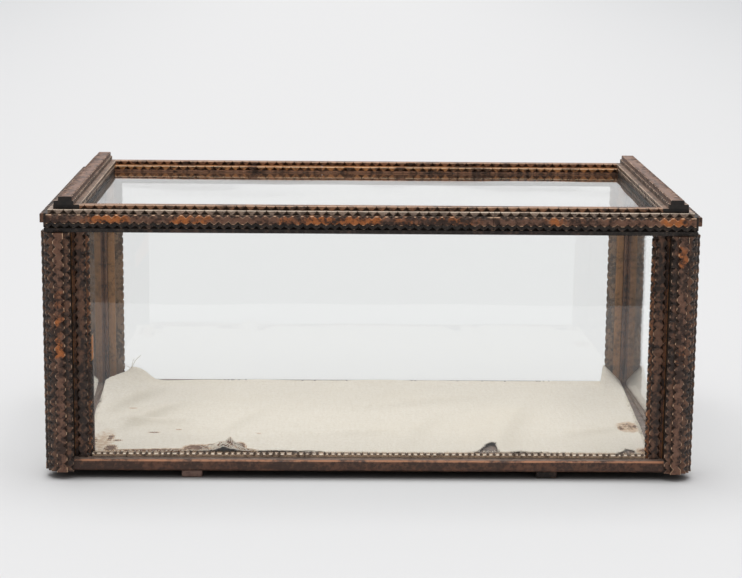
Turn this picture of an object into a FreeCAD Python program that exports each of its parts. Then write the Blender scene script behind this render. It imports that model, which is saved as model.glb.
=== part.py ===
import FreeCAD, Part
import os

# Tabletop display case with notched wooden facings and a hinged glass lid.
# Millimetres. +Z up, +X to the right, the front faces -Y.
# Origin: the middle of the footprint, on the surface that the feet stand on.
#
# Every side is worked in its own frame: u runs along the side, w is the distance outwards from
# the plane of the posts' outer faces, and z is height.

V = FreeCAD.Vector

# ---- driving dimensions -------------------------------------------------------------------
CORE_LENGTH = 497.0            # over the posts, left to right
CORE_DEPTH = 269.2             # over the posts, front to back
POST_HEIGHT = 180.4
POST_WIDTH = 17.0
BASE_THICK = 9.0
FOOT_HEIGHT = 6.0
FOOT_LENGTH = 16.0
FOOT_DEPTH = 14.0
FOOT_INSET_U = 101.0           # from the end of the base to a foot's outer end
FOOT_INSET_W = 3.0

NOTCH_PITCH = 7.1
NOTCH_DEPTH = 2.1
STRIP_THICK = 2.7
POST_WIDE_STRIP = 17.3
POST_NARROW_STRIP = 8.1
POST_STRIP_TOP_GAP = 0.4       # below the flat top rails

STOP_WIDE_STRIP = 13.8
STOP_NARROW_STRIP = 8.4
STOP_RECESS = 7.0              # from the posts' outer faces to the stops' outer face
INNER_STOP_WIDTH = 6.5
BROKEN_STOP_WIDTH = 15.0
BROKEN_STOP_SHARE = 0.54       # of the window's height that the broken stop still covers
BEAD_HEIGHT = 4.0
BEAD_DEPTH = 5.0

GLASS_THICK = 2.0
PANE_CLEARANCE = 0.1

TOP_RAIL_THICK = 3.0
TOP_RAIL_LAP = 0.8             # past the posts' inner faces
TOP_RAIL_OVERHANG = 2.2

LID_SEAM = 0.1
LID_RAIL_HEIGHT = 11.0
LID_RAIL_WIDTH = 18.0          # front and back rails
LID_END_RAIL_WIDTH = 25.0      # left and right rails
LID_GROOVE_DEPTH = 4.0
LID_GLASS_DROP = 1.6           # from the rails' top to the lid glass's top
LID_FACING_WIDE = 10.8
LID_FACING_NARROW = 7.0
LID_FACING_NARROW_LIFT = 3.9   # bare margin under the narrow strip, above the lid's underside

CAP_THICK = 3.3
LOWER_CAP_OUT = 2.0            # how far the lower cap's edge stands past the rails
END_LOWER_CAP_IN = 1.0
UPPER_CAP_IN = 1.0
UPPER_CAP_WIDTH = 8.0
END_UPPER_CAP_IN = 5.0
END_UPPER_CAP_WIDTH = 20.0
CREST_LOWER_IN = 5.5
CREST_LOWER_WIDTH = 15.3
CREST_UPPER_IN = 9.0
CREST_UPPER_WIDTH = 10.5
CREST_END_IN = 5.0             # from the facings' outer face to the crest's square ends

HINGE_WIDTH = 14.0
HINGE_SHIFT = 1.0              # inwards from the middle of the post
HINGE_LEAF_THICK = 0.8
HINGE_LEAF_DEPTH = 11.0
KNUCKLE_RADIUS = 2.5
PIN_RADIUS = 1.0
PIN_CLEARANCE = 0.05
KNUCKLE_GAP = 0.15
KNUCKLE_RELIEF = 0.5
SCREW_RADIUS = 0.9
SCREW_HEAD_RADIUS = 1.7
SCREW_HEAD_DEPTH = 0.7
CASE_SCREW_LENGTH = 10.0
LID_SCREW_LENGTH = 7.5
SCREW_SPACING = 6.0
SCREW_SLOT_WIDTH = 0.5
SCREW_SLOT_DEPTH = 0.3

CLOTH_THICK = 2.4
CLOTH_LIFT = 0.3
CLOTH_MARGIN = 3.0             # from the cloth's edge to the inner stops and glass
CLOTH_CORNER_RISE = 15.0       # how far the two back corners turn up
CLOTH_CORNER_RUN = 62.0

# ---- derived places -----------------------------------------------------------------------
HALF_X = CORE_LENGTH / 2
HALF_Y = CORE_DEPTH / 2
FACING_OUT = 2 * STRIP_THICK

BASE_TOP = FOOT_HEIGHT + BASE_THICK
POST_TOP = BASE_TOP + POST_HEIGHT
SEAM_LOW = POST_TOP + TOP_RAIL_THICK
LID_LOW = SEAM_LOW + LID_SEAM
LID_RAIL_TOP = LID_LOW + LID_RAIL_HEIGHT
LOWER_CAP_TOP = LID_RAIL_TOP + CAP_THICK
UPPER_CAP_TOP = LOWER_CAP_TOP + CAP_THICK
CREST_MID = UPPER_CAP_TOP + CAP_THICK

STOP_BACK = STOP_RECESS + 2 * STRIP_THICK        # outer face of the glass
PANE_BACK = STOP_BACK + GLASS_THICK
INNER_STOP_THICK = POST_WIDTH - PANE_BACK
TOP_RAIL_WIDTH = POST_WIDTH + TOP_RAIL_OVERHANG + TOP_RAIL_LAP

AXIS_Y = HALF_Y + FACING_OUT - KNUCKLE_RADIUS
AXIS_Z = SEAM_LOW + LID_SEAM / 2
KNUCKLE_LENGTH = HINGE_WIDTH / 3

SIDES = ("front", "back", "left", "right")
END_SIDES = ("left", "right")
CORNERS = (("front", "left"), ("front", "right"), ("back", "left"), ("back", "right"))


# ---- working in a side's frame -------------------------------------------------------------
def side_axes(side):
    """Direction of u, outward direction, half the side's length and distance of its plane."""
    table = {
        "front": (V(1, 0, 0), V(0, -1, 0), HALF_X, HALF_Y),
        "back": (V(-1, 0, 0), V(0, 1, 0), HALF_X, HALF_Y),
        "left": (V(0, -1, 0), V(-1, 0, 0), HALF_Y, HALF_X),
        "right": (V(0, 1, 0), V(1, 0, 0), HALF_Y, HALF_X),
    }
    return table[side]


def place(side, u, w, z):
    along, outward, half, plane = side_axes(side)
    return along * u + outward * (plane + w) + V(0, 0, z)


def side_box(side, u, w, z):
    """A box between two values of u, w and z in a side's frame."""
    first = place(side, u[0], w[0], z[0])
    second = place(side, u[1], w[1], z[1])
    low = V(min(first.x, second.x), min(first.y, second.y), min(first.z, second.z))
    size = V(abs(first.x - second.x), abs(first.y - second.y), abs(first.z - second.z))
    return Part.makeBox(size.x, size.y, size.z, low)


def save(node, *solids):
    shape = solids[0] if len(solids) == 1 else Part.makeCompound(list(solids))
    shape.exportStep("parts/" + node + ".step")


# ---- notched strips ------------------------------------------------------------------------
def notched_outline(length, width, low_notched, high_notched):
    """Outline of a strip: run along one axis from 0, width along the other, with V notches."""
    count = max(1, round(length / NOTCH_PITCH))
    pitch = length / count
    depth = min(NOTCH_DEPTH, width / 4)

    def edge(base, inward, notched):
        points = []
        for step in range(count):
            points.append((step * pitch, base))
            if notched:
                points.append(((step + 0.5) * pitch, base + inward * depth))
        points.append((length, base))
        return points if notched else [points[0], points[-1]]

    return edge(0, 1, low_notched) + edge(width, -1, high_notched)[::-1]


def lay_strip(origin, run, across, outward, length, width, thick, low=True, high=True):
    """A notched strip that starts at origin, runs along run and is thick along outward."""
    flat = [origin + run * a + across * b for a, b in notched_outline(length, width, low, high)]
    face = Part.Face(Part.makePolygon(flat + [flat[0]]))
    return face.extrude(outward * thick)


def upright_strip(side, u_from, u_to, w_base, z_from, z_to):
    """A strip that stands upright on a side's plane, glued at w_base."""
    along, outward, half, plane = side_axes(side)
    width = abs(u_to - u_from)
    origin = place(side, min(u_from, u_to), w_base, z_from)
    return lay_strip(origin, V(0, 0, 1), along, outward, z_to - z_from, width, STRIP_THICK)


def level_strip(side, w_base, z_from, width, high=True):
    """A strip that runs level along the whole of a side, on edge against its plane."""
    along, outward, half, plane = side_axes(side)
    origin = place(side, -half, w_base, z_from)
    return lay_strip(origin, along, V(0, 0, 1), outward, 2 * half, width, STRIP_THICK, True, high)


def flat_strip(side, half_run, w_outer, width, z_from):
    """A strip that lies flat along a side, its outer edge at w_outer."""
    along, outward, half, plane = side_axes(side)
    origin = place(side, -half_run, w_outer - width, z_from)
    return lay_strip(origin, along, outward, V(0, 0, 1), 2 * half_run, width, CAP_THICK)


# ---- case: base and posts ------------------------------------------------------------------
def base_board():
    return Part.makeBox(CORE_LENGTH, CORE_DEPTH, BASE_THICK, V(-HALF_X, -HALF_Y, FOOT_HEIGHT))


def base_feet():
    feet = []
    for side in ("front", "back"):
        for sign in (-1, 1):
            outer = sign * (HALF_X - FOOT_INSET_U)
            inner = outer - sign * FOOT_LENGTH
            w = (-FOOT_INSET_W - FOOT_DEPTH, -FOOT_INSET_W)
            feet.append(side_box(side, (outer, inner), w, (0, FOOT_HEIGHT)))
    return feet


def corner_place(corner, side):
    """On a side of this corner: which end of the side's u axis the corner is at."""
    along = side_axes(side)[0]
    face, end = corner
    towards = V(-1 if end == "left" else 1, -1 if face == "front" else 1, 0)
    return 1 if along.dot(towards) > 0 else -1


def corner_post(corner, screws):
    face = corner[0]
    sign = corner_place(corner, face)
    u = (sign * HALF_X, sign * (HALF_X - POST_WIDTH))
    post = side_box(face, u, (-POST_WIDTH, 0), (BASE_TOP, POST_TOP))
    return cut_screws(post, screws)


def post_facings(corner):
    """The wide and the narrow strips on the two outer faces of one post."""
    wide = []
    narrow = []
    top = POST_TOP - POST_STRIP_TOP_GAP
    margin = (POST_WIDE_STRIP - POST_NARROW_STRIP) / 2
    for side in corner:
        half = side_axes(side)[2]
        sign = corner_place(corner, side)
        outer = sign * half
        inner = sign * (half - POST_WIDE_STRIP)
        wide.append(upright_strip(side, outer, inner, 0, FOOT_HEIGHT, top))
        outer -= sign * margin
        inner += sign * margin
        narrow.append(upright_strip(side, outer, inner, STRIP_THICK, FOOT_HEIGHT, top))
    return wide, narrow


# ---- case: windows -------------------------------------------------------------------------
def window_half(side):
    return side_axes(side)[2] - POST_WIDTH


def outer_stops(side):
    """Two layers of notched strip at each end of a window, in front of its glass."""
    strips = []
    jamb = window_half(side)
    margin = (STOP_WIDE_STRIP - STOP_NARROW_STRIP) / 2
    for sign in (-1, 1):
        outer = sign * jamb
        inner = sign * (jamb - STOP_WIDE_STRIP)
        strips.append(upright_strip(side, outer, inner, -STOP_BACK, BASE_TOP, POST_TOP))
        outer -= sign * margin
        inner += sign * margin
        strips.append(upright_strip(side, outer, inner, STRIP_THICK - STOP_BACK, BASE_TOP, POST_TOP))
    return strips


def broken_stop(side, sign):
    """The stop that has split off at a slant partway up."""
    jamb = window_half(side)
    outer = sign * jamb
    inner = sign * (jamb - BROKEN_STOP_WIDTH)
    top = BASE_TOP + BROKEN_STOP_SHARE * POST_HEIGHT
    slant = BROKEN_STOP_WIDTH * 1.6
    corners = ((outer, BASE_TOP), (inner, BASE_TOP), (inner, top), (outer, top - slant))
    flat = [place(side, u, -PANE_BACK, z) for u, z in corners]
    face = Part.Face(Part.makePolygon(flat + [flat[0]]))
    return face.extrude(side_axes(side)[1] * -INNER_STOP_THICK)


def inner_stops(side):
    stops = []
    jamb = window_half(side)
    for sign in (-1, 1):
        if side == "front" and sign < 0:
            stops.append(broken_stop(side, sign))
            continue
        u = (sign * jamb, sign * (jamb - INNER_STOP_WIDTH))
        stops.append(side_box(side, u, (-POST_WIDTH, -PANE_BACK), (BASE_TOP, POST_TOP)))
    return stops


def window_pane(side):
    half = window_half(side) - PANE_CLEARANCE
    w = (-PANE_BACK, -STOP_BACK)
    return side_box(side, (-half, half), w, (BASE_TOP, POST_TOP - PANE_CLEARANCE))


def sill_bead(side):
    """A square bead along the foot of a window, its outer lower edge notched."""
    half = window_half(side) - STOP_WIDE_STRIP
    along, outward, side_half, plane = side_axes(side)
    origin = place(side, -half, -STOP_BACK, BASE_TOP)
    return lay_strip(origin, along, outward, V(0, 0, 1), 2 * half, BEAD_DEPTH, BEAD_HEIGHT, False, True)


def case_top_rail(side, screws):
    """A thin flat rail over the posts; the end rails butt between the front and back ones."""
    half = side_axes(side)[2] + TOP_RAIL_OVERHANG
    if side in END_SIDES:
        half -= TOP_RAIL_WIDTH
    w = (TOP_RAIL_OVERHANG - TOP_RAIL_WIDTH, TOP_RAIL_OVERHANG)
    rail = side_box(side, (-half, half), w, (POST_TOP, SEAM_LOW))
    if side == "back":
        for middle in hinge_middles():
            rail = rail.cut(knuckle_room(middle))
            rail = rail.cut(leaf_plate(middle, "case"))
    return cut_screws(rail, screws)


def cloth_lining():
    """The cloth as a plain pad whose two back corners turn up."""
    half_x = window_half("front") - CLOTH_MARGIN
    half_y = window_half("left") - CLOTH_MARGIN
    low = BASE_TOP + CLOTH_LIFT
    high = low + CLOTH_THICK
    cloth = Part.makeBox(2 * half_x, 2 * half_y, CLOTH_THICK, V(-half_x, -half_y, low))
    for sign in (-1, 1):
        corner = V(sign * half_x, half_y, high)
        along = corner - V(sign * CLOTH_CORNER_RUN, 0, 0)
        forward = corner - V(0, CLOTH_CORNER_RUN, 0)
        below = V(0, 0, -CLOTH_THICK / 2)
        peak = corner + V(0, 0, CLOTH_CORNER_RISE)
        foot = [point + below for point in (corner, along, forward)]
        cloth = cloth.fuse(tetrahedron(foot[0], foot[1], foot[2], peak))
    return cloth.removeSplitter()


def tetrahedron(a, b, c, d):
    faces = []
    for ring in ((a, b, c), (a, b, d), (b, c, d), (c, a, d)):
        faces.append(Part.Face(Part.makePolygon([ring[0], ring[1], ring[2], ring[0]])))
    solid = Part.makeSolid(Part.makeShell(faces))
    if solid.Volume < 0:
        solid.reverse()
    return solid


# ---- hinges --------------------------------------------------------------------------------
def hinge_middles():
    reach = HALF_X - POST_WIDTH / 2 - HINGE_SHIFT
    return (-reach, reach)


def knuckle_room(middle):
    """The space that a hinge's knuckles turn in, cut from the wood around them."""
    length = HINGE_WIDTH + 2 * KNUCKLE_RELIEF
    reach = KNUCKLE_RADIUS + KNUCKLE_RELIEF
    corner = V(middle - length / 2, HALF_Y, AXIS_Z - reach)
    return Part.makeBox(length, FACING_OUT + TOP_RAIL_OVERHANG, 2 * reach, corner)


def leaf_level(body):
    """Underside of the leaf that is let into this body."""
    return LID_LOW if body == "lid" else SEAM_LOW - HINGE_LEAF_THICK


def leaf_plate(middle, body):
    corner = V(middle - HINGE_WIDTH / 2, HALF_Y - HINGE_LEAF_DEPTH, leaf_level(body))
    return Part.makeBox(HINGE_WIDTH, HINGE_LEAF_DEPTH, HINGE_LEAF_THICK, corner)


def knuckle_spans(middle, body):
    """Start and end of this leaf's own knuckles along the pin."""
    start = middle - HINGE_WIDTH / 2
    if body == "lid":
        return [(start + KNUCKLE_LENGTH + KNUCKLE_GAP, start + 2 * KNUCKLE_LENGTH - KNUCKLE_GAP)]
    return [(start, start + KNUCKLE_LENGTH), (start + 2 * KNUCKLE_LENGTH, start + HINGE_WIDTH)]


def hinge_leaf(middle, body):
    leaf = leaf_plate(middle, body)
    bore = PIN_RADIUS + PIN_CLEARANCE if body == "lid" else PIN_RADIUS
    for start, end in knuckle_spans(middle, body):
        length = end - start
        barrel = Part.makeCylinder(KNUCKLE_RADIUS, length, V(start, AXIS_Y, AXIS_Z), V(1, 0, 0))
        tab_depth = AXIS_Y - HALF_Y - PIN_RADIUS
        tab = Part.makeBox(length, tab_depth, HINGE_LEAF_THICK, V(start, HALF_Y, leaf_level(body)))
        leaf = leaf.fuse([barrel, tab])
        leaf = leaf.cut(Part.makeCylinder(bore, length, V(start, AXIS_Y, AXIS_Z), V(1, 0, 0)))
    for screw in hinge_screws(middle, body):
        leaf = leaf.cut(screw)
    return leaf.removeSplitter()


def hinge_pin(middle):
    start = V(middle - HINGE_WIDTH / 2, AXIS_Y, AXIS_Z)
    return Part.makeCylinder(PIN_RADIUS, HINGE_WIDTH, start, V(1, 0, 0))


def hinge_screws(middle, body):
    """Two countersunk slotted screws through a leaf, heads at the seam."""
    sign = 1 if body == "lid" else -1
    length = LID_SCREW_LENGTH if body == "lid" else CASE_SCREW_LENGTH
    head_z = LID_LOW if body == "lid" else SEAM_LOW
    y = HALF_Y - HINGE_LEAF_DEPTH / 2
    screws = []
    for offset in (-SCREW_SPACING / 2, SCREW_SPACING / 2):
        top = V(middle + offset, y, head_z)
        into = V(0, 0, sign)
        head = Part.makeCone(SCREW_HEAD_RADIUS, SCREW_RADIUS, SCREW_HEAD_DEPTH, top, into)
        neck = top + into * SCREW_HEAD_DEPTH
        shank = Part.makeCylinder(SCREW_RADIUS, length - SCREW_HEAD_DEPTH, neck, into)
        screws.append(head.fuse(shank).removeSplitter())
    return screws


def slotted(screw, body):
    """The same screw with the driver's slot cut across its head."""
    box = screw.BoundBox
    low = box.ZMin if body == "lid" else box.ZMax - SCREW_SLOT_DEPTH
    middle = box.Center
    corner = V(middle.x - SCREW_HEAD_RADIUS, middle.y - SCREW_SLOT_WIDTH / 2, low)
    return screw.cut(Part.makeBox(2 * SCREW_HEAD_RADIUS, SCREW_SLOT_WIDTH, SCREW_SLOT_DEPTH, corner))


def cut_screws(wood, screws):
    for screw in screws:
        if wood.BoundBox.intersect(screw.BoundBox):
            wood = wood.cut(screw)
    return wood


# ---- lid -----------------------------------------------------------------------------------
def lid_rail_width(side):
    return LID_END_RAIL_WIDTH if side in END_SIDES else LID_RAIL_WIDTH


def lid_rail_half(side):
    """Front and back rails run the full length; the end rails butt between them."""
    half = side_axes(side)[2]
    return half - LID_RAIL_WIDTH if side in END_SIDES else half


def lid_pane_levels():
    top = LID_RAIL_TOP - LID_GLASS_DROP
    return (top - GLASS_THICK, top)


def lid_rail(side, screws):
    half = lid_rail_half(side)
    rail = side_box(side, (-half, half), (-lid_rail_width(side), 0), (LID_LOW, LID_RAIL_TOP))
    rail = rail.cut(lid_groove())
    if side == "back":
        for middle in hinge_middles():
            rail = rail.cut(leaf_plate(middle, "lid"))
    return cut_screws(rail, screws)


def lid_groove():
    """The space that the lid pane and its clearance take in the rails."""
    low, high = lid_pane_levels()
    reach_x = HALF_X - LID_END_RAIL_WIDTH + LID_GROOVE_DEPTH
    reach_y = HALF_Y - LID_RAIL_WIDTH + LID_GROOVE_DEPTH
    height = high - low + 2 * PANE_CLEARANCE
    return Part.makeBox(2 * reach_x, 2 * reach_y, height, V(-reach_x, -reach_y, low - PANE_CLEARANCE))


def lid_pane():
    low, high = lid_pane_levels()
    reach_x = HALF_X - LID_END_RAIL_WIDTH + LID_GROOVE_DEPTH - PANE_CLEARANCE
    reach_y = HALF_Y - LID_RAIL_WIDTH + LID_GROOVE_DEPTH - PANE_CLEARANCE
    return Part.makeBox(2 * reach_x, 2 * reach_y, high - low, V(-reach_x, -reach_y, low))


def lid_facing(side):
    """The wide strip on a rail's outer face, and the narrow zig-zag strip on top of it."""
    wide = level_strip(side, 0, LID_RAIL_TOP - LID_FACING_WIDE, LID_FACING_WIDE, False)
    lift = LID_LOW + LID_FACING_NARROW_LIFT
    narrow = level_strip(side, STRIP_THICK, lift, LID_FACING_NARROW)
    if side == "back":
        for middle in hinge_middles():
            wide = wide.cut(knuckle_room(middle))
            narrow = narrow.cut(knuckle_room(middle))
    return wide, narrow


def lower_cap(side):
    """The tier that lies on a rail, flush with its inner edge; the end ones butt like the rails."""
    half = lid_rail_half(side)
    out = -END_LOWER_CAP_IN
    if side not in END_SIDES:
        half -= END_LOWER_CAP_IN
        out = LOWER_CAP_OUT
    return flat_strip(side, half, out, lid_rail_width(side) + out, LID_RAIL_TOP)


def upper_cap(side):
    """The second tier; the end ones run through, the front and back ones butt between them."""
    if side in END_SIDES:
        half = side_axes(side)[2] - UPPER_CAP_IN
        return flat_strip(side, half, -END_UPPER_CAP_IN, END_UPPER_CAP_WIDTH, LOWER_CAP_TOP)
    half = side_axes(side)[2] - END_UPPER_CAP_IN - END_UPPER_CAP_WIDTH
    return flat_strip(side, half, -UPPER_CAP_IN, UPPER_CAP_WIDTH, LOWER_CAP_TOP)


def end_crest(side):
    """Two more tiers on one end of the lid."""
    half = side_axes(side)[2] + FACING_OUT - CREST_END_IN
    lower = flat_strip(side, half, -CREST_LOWER_IN, CREST_LOWER_WIDTH, UPPER_CAP_TOP)
    upper = flat_strip(side, half, -CREST_UPPER_IN, CREST_UPPER_WIDTH, CREST_MID)
    return lower, upper


# ---- build ---------------------------------------------------------------------------------
def build():
    os.makedirs("parts", exist_ok=True)
    case_screws = [screw for middle in hinge_middles() for screw in hinge_screws(middle, "case")]
    lid_screws = [screw for middle in hinge_middles() for screw in hinge_screws(middle, "lid")]

    save("base_board", base_board())
    save("base_feet", *base_feet())
    for corner in CORNERS:
        name = "_".join(corner)
        wide, narrow = post_facings(corner)
        save("corner_post_" + name, corner_post(corner, case_screws))
        save("post_facing_wide_" + name, *wide)
        save("post_facing_narrow_" + name, *narrow)
    for side in SIDES:
        save("outer_stops_" + side, *outer_stops(side))
        save("inner_stops_" + side, *inner_stops(side))
        save("window_pane_" + side, window_pane(side))
        if side != "back":
            save("sill_bead_" + side, sill_bead(side))
        save("case_top_rail_" + side, case_top_rail(side, case_screws))
        save("lid_rail_" + side, lid_rail(side, lid_screws))
        save("lid_facing_" + side, *lid_facing(side))
        save("lid_lower_cap_" + side, lower_cap(side))
        save("lid_upper_cap_" + side, upper_cap(side))
    for side in END_SIDES:
        save("lid_crest_" + side, *end_crest(side))
    save("lid_pane", lid_pane())
    save("cloth_lining", cloth_lining())
    for body in ("case", "lid"):
        save("hinge_leaves_" + body, *[hinge_leaf(middle, body) for middle in hinge_middles()])
    save("hinge_pins", *[hinge_pin(middle) for middle in hinge_middles()])
    save("hinge_screws_case", *[slotted(screw, "case") for screw in case_screws])
    save("hinge_screws_lid", *[slotted(screw, "lid") for screw in lid_screws])
    print("nodes", len(os.listdir("parts")))


build()
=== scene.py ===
"""Looks of a tabletop display case: chip-carved facings, clear panes and a worn linen lining.

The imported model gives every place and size. A side of the case is worked in its own frame: u runs
along the side, w is the distance outwards from the plane of the posts' outer faces, z is height.
"""

from __future__ import annotations

import logging
import math
import random
from dataclasses import dataclass, field, replace
from enum import Enum
from typing import Any, Iterable, Sequence

import bpy
from mathutils import Matrix, Vector, noise


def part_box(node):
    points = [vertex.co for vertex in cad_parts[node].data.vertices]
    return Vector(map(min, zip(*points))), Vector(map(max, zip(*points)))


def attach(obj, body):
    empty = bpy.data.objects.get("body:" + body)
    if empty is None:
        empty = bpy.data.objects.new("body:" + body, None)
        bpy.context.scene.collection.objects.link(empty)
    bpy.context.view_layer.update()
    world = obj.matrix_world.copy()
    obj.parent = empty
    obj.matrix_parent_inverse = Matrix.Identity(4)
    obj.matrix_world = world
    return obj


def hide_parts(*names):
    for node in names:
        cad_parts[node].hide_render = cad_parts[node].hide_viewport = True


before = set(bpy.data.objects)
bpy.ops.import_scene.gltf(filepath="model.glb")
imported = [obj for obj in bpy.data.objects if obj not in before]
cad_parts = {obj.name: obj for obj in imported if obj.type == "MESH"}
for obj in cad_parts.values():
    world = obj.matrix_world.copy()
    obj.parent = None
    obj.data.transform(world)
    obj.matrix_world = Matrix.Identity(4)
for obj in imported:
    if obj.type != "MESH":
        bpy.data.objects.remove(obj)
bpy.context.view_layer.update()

log = logging.getLogger("display_case")

MM = 0.001

Colour = tuple[float, float, float]
Spans = tuple[tuple[float, float], ...]


def srgb(red: int, green: int, blue: int) -> Colour:
    """Turn a screen colour into the linear one that a shader takes.

    Args:
        red: Its red, from 0 to 255.
        green: Its green.
        blue: Its blue.

    Returns:
        The linear colour, from 0 to 1.
    """

    def linear(value: int) -> float:
        """Return one linear channel."""
        share = value / 255
        return share / 12.92 if share <= 0.04045 else ((share + 0.055) / 1.055) ** 2.4

    return (linear(red), linear(green), linear(blue))


# ---- shader maths --------------------------------------------------------------------------
class Signal:
    """A shader socket that holds a number and takes part in Python arithmetic."""

    def __init__(self, tree: "ShaderTree", socket: bpy.types.NodeSocket) -> None:
        """Wrap an output socket of the given tree."""
        self.tree = tree
        self.socket = socket

    def maths(self, operation: str, *values: Any, clamp: bool = False) -> "Signal":
        """Add one Math node.

        Args:
            operation: The Math node's operation.
            values: What its sockets take, in order.
            clamp: Whether the result stays from 0 to 1.

        Returns:
            The node's result.
        """
        settings = {"operation": operation, "use_clamp": clamp}
        return self.tree.signal("ShaderNodeMath", settings, dict(enumerate(values)))

    def __add__(self, other: Any) -> "Signal":
        """Return self + other."""
        return self.maths("ADD", self, other)

    __radd__ = __add__

    def __sub__(self, other: Any) -> "Signal":
        """Return self - other."""
        return self.maths("SUBTRACT", self, other)

    def __rsub__(self, other: Any) -> "Signal":
        """Return other - self."""
        return self.maths("SUBTRACT", other, self)

    def __mul__(self, other: Any) -> "Signal":
        """Return self * other."""
        return self.maths("MULTIPLY", self, other)

    __rmul__ = __mul__

    def clamp(self) -> "Signal":
        """Keep the value from 0 to 1."""
        return self.maths("ADD", self, 0.0, clamp=True)

    def above(self, other: Any) -> "Signal":
        """Return the larger of the two."""
        return self.maths("MAXIMUM", self, other)

    def sine(self) -> "Signal":
        """Return the sine of the value."""
        return self.maths("SINE", self)

    def step(self, low: float, high: float) -> "Signal":
        """Turn the value into a smooth step.

        Args:
            low: Where the step starts.
            high: Where it ends.

        Returns:
            A share that rises smoothly from 0 at low to 1 at high.
        """
        settings = {"interpolation_type": "SMOOTHSTEP"}
        values = {"Value": self, "From Min": low, "From Max": high}
        return self.tree.signal("ShaderNodeMapRange", settings, values)


class ShaderTree:
    """The nodes of one material or world."""

    def __init__(self, owner: bpy.types.Material | bpy.types.World) -> None:
        """Start an empty tree.

        Args:
            owner: The material or world that it belongs to.
        """
        owner.use_nodes = True
        self.nodes = owner.node_tree.nodes
        self.links = owner.node_tree.links
        self.nodes.clear()

    def node(
        self, kind: str, settings: dict[str, Any] | None = None, values: dict[Any, Any] | None = None
    ) -> bpy.types.Node:
        """Add a node.

        Args:
            kind: The node's type.
            settings: Its settings, which are set first.
            values: What its sockets take: numbers, colours, sockets or signals.

        Returns:
            The new node.
        """
        made = self.nodes.new(kind)
        for name, value in (settings or {}).items():
            setattr(made, name, value)
        for key, value in (values or {}).items():
            self.feed(made.inputs[key], value)
        return made

    def feed(self, socket: bpy.types.NodeSocket, value: Any) -> None:
        """Link a signal or a socket to a socket, or set its plain value.

        Args:
            socket: The input to feed.
            value: What it takes; a colour may leave out its alpha.
        """
        if isinstance(value, Signal):
            self.links.new(value.socket, socket)
        elif isinstance(value, bpy.types.NodeSocket):
            self.links.new(value, socket)
        elif socket.type == "RGBA" and len(value) == 3:
            socket.default_value = (*value, 1.0)
        else:
            socket.default_value = value

    def signal(
        self, kind: str, settings: dict[str, Any] | None = None, values: dict[Any, Any] | None = None,
        output: int | str = 0,
    ) -> Signal:
        """Add a node and wrap one of its outputs."""
        return Signal(self, self.node(kind, settings, values).outputs[output])

    def place(self) -> bpy.types.NodeSocket:
        """Return the point on the piece in metres, as it lies at rest."""
        return self.node("ShaderNodeTexCoord").outputs["Object"]

    def stretched(self, scale: Sequence[float]) -> bpy.types.NodeSocket:
        """Scale the point on the piece.

        Args:
            scale: The factor for each axis.

        Returns:
            The scaled point.
        """
        settings = {"operation": "MULTIPLY"}
        made = self.node("ShaderNodeVectorMath", settings, {0: self.place(), 1: tuple(scale)})
        return made.outputs[0]

    def axes(self) -> tuple[Signal, Signal, Signal]:
        """Return the point's three coordinates."""
        parts = self.node("ShaderNodeSeparateXYZ", None, {0: self.place()})
        return tuple(Signal(self, parts.outputs[index]) for index in range(3))

    def noise(self, scale: Sequence[float], detail: float = 2.0, rough: float = 0.5) -> Signal:
        """Return noise from 0 to 1 with so many features in a metre along each axis."""
        values = {"Vector": self.stretched(scale), "Scale": 1.0, "Detail": detail, "Roughness": rough}
        return self.signal("ShaderNodeTexNoise", None, values)

    def mark(self, name: str) -> Signal:
        """Return a number that the mesh holds for each face."""
        settings = {"attribute_name": name}
        return self.signal("ShaderNodeAttribute", settings, None, "Fac")

    def blend(self, share: Any, first: Any, second: Any) -> bpy.types.NodeSocket:
        """Return a colour between two, by a share from 0 to 1."""
        settings = {"data_type": "RGBA"}
        return self.node("ShaderNodeMix", settings, {0: share, 6: first, 7: second}).outputs[2]

    def bump(self, height: Signal, distance: float) -> bpy.types.NodeSocket:
        """Return a normal raised by a height of 0 to 1 over a distance in metres."""
        values = {"Height": height, "Distance": distance, "Strength": 1.0}
        return self.node("ShaderNodeBump", None, values).outputs[0]

    def surface(self, shader: bpy.types.NodeSocket) -> None:
        """Send a shader to the output."""
        self.node("ShaderNodeOutputMaterial", None, {"Surface": shader})


# ---- finishes ------------------------------------------------------------------------------
HOUSE_DUST = srgb(142, 128, 116)
BLACK_PAINT = srgb(24, 24, 24)


class Grain(Enum):
    """The direction that the wood's grain runs in."""

    ALONG_X = 0
    ALONG_Y = 1
    ALONG_Z = 2

    def scale(self, along: float, across: float) -> tuple[float, float, float]:
        """Return features in a metre for each axis."""
        return tuple(along if axis == self.value else across for axis in range(3))


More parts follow.
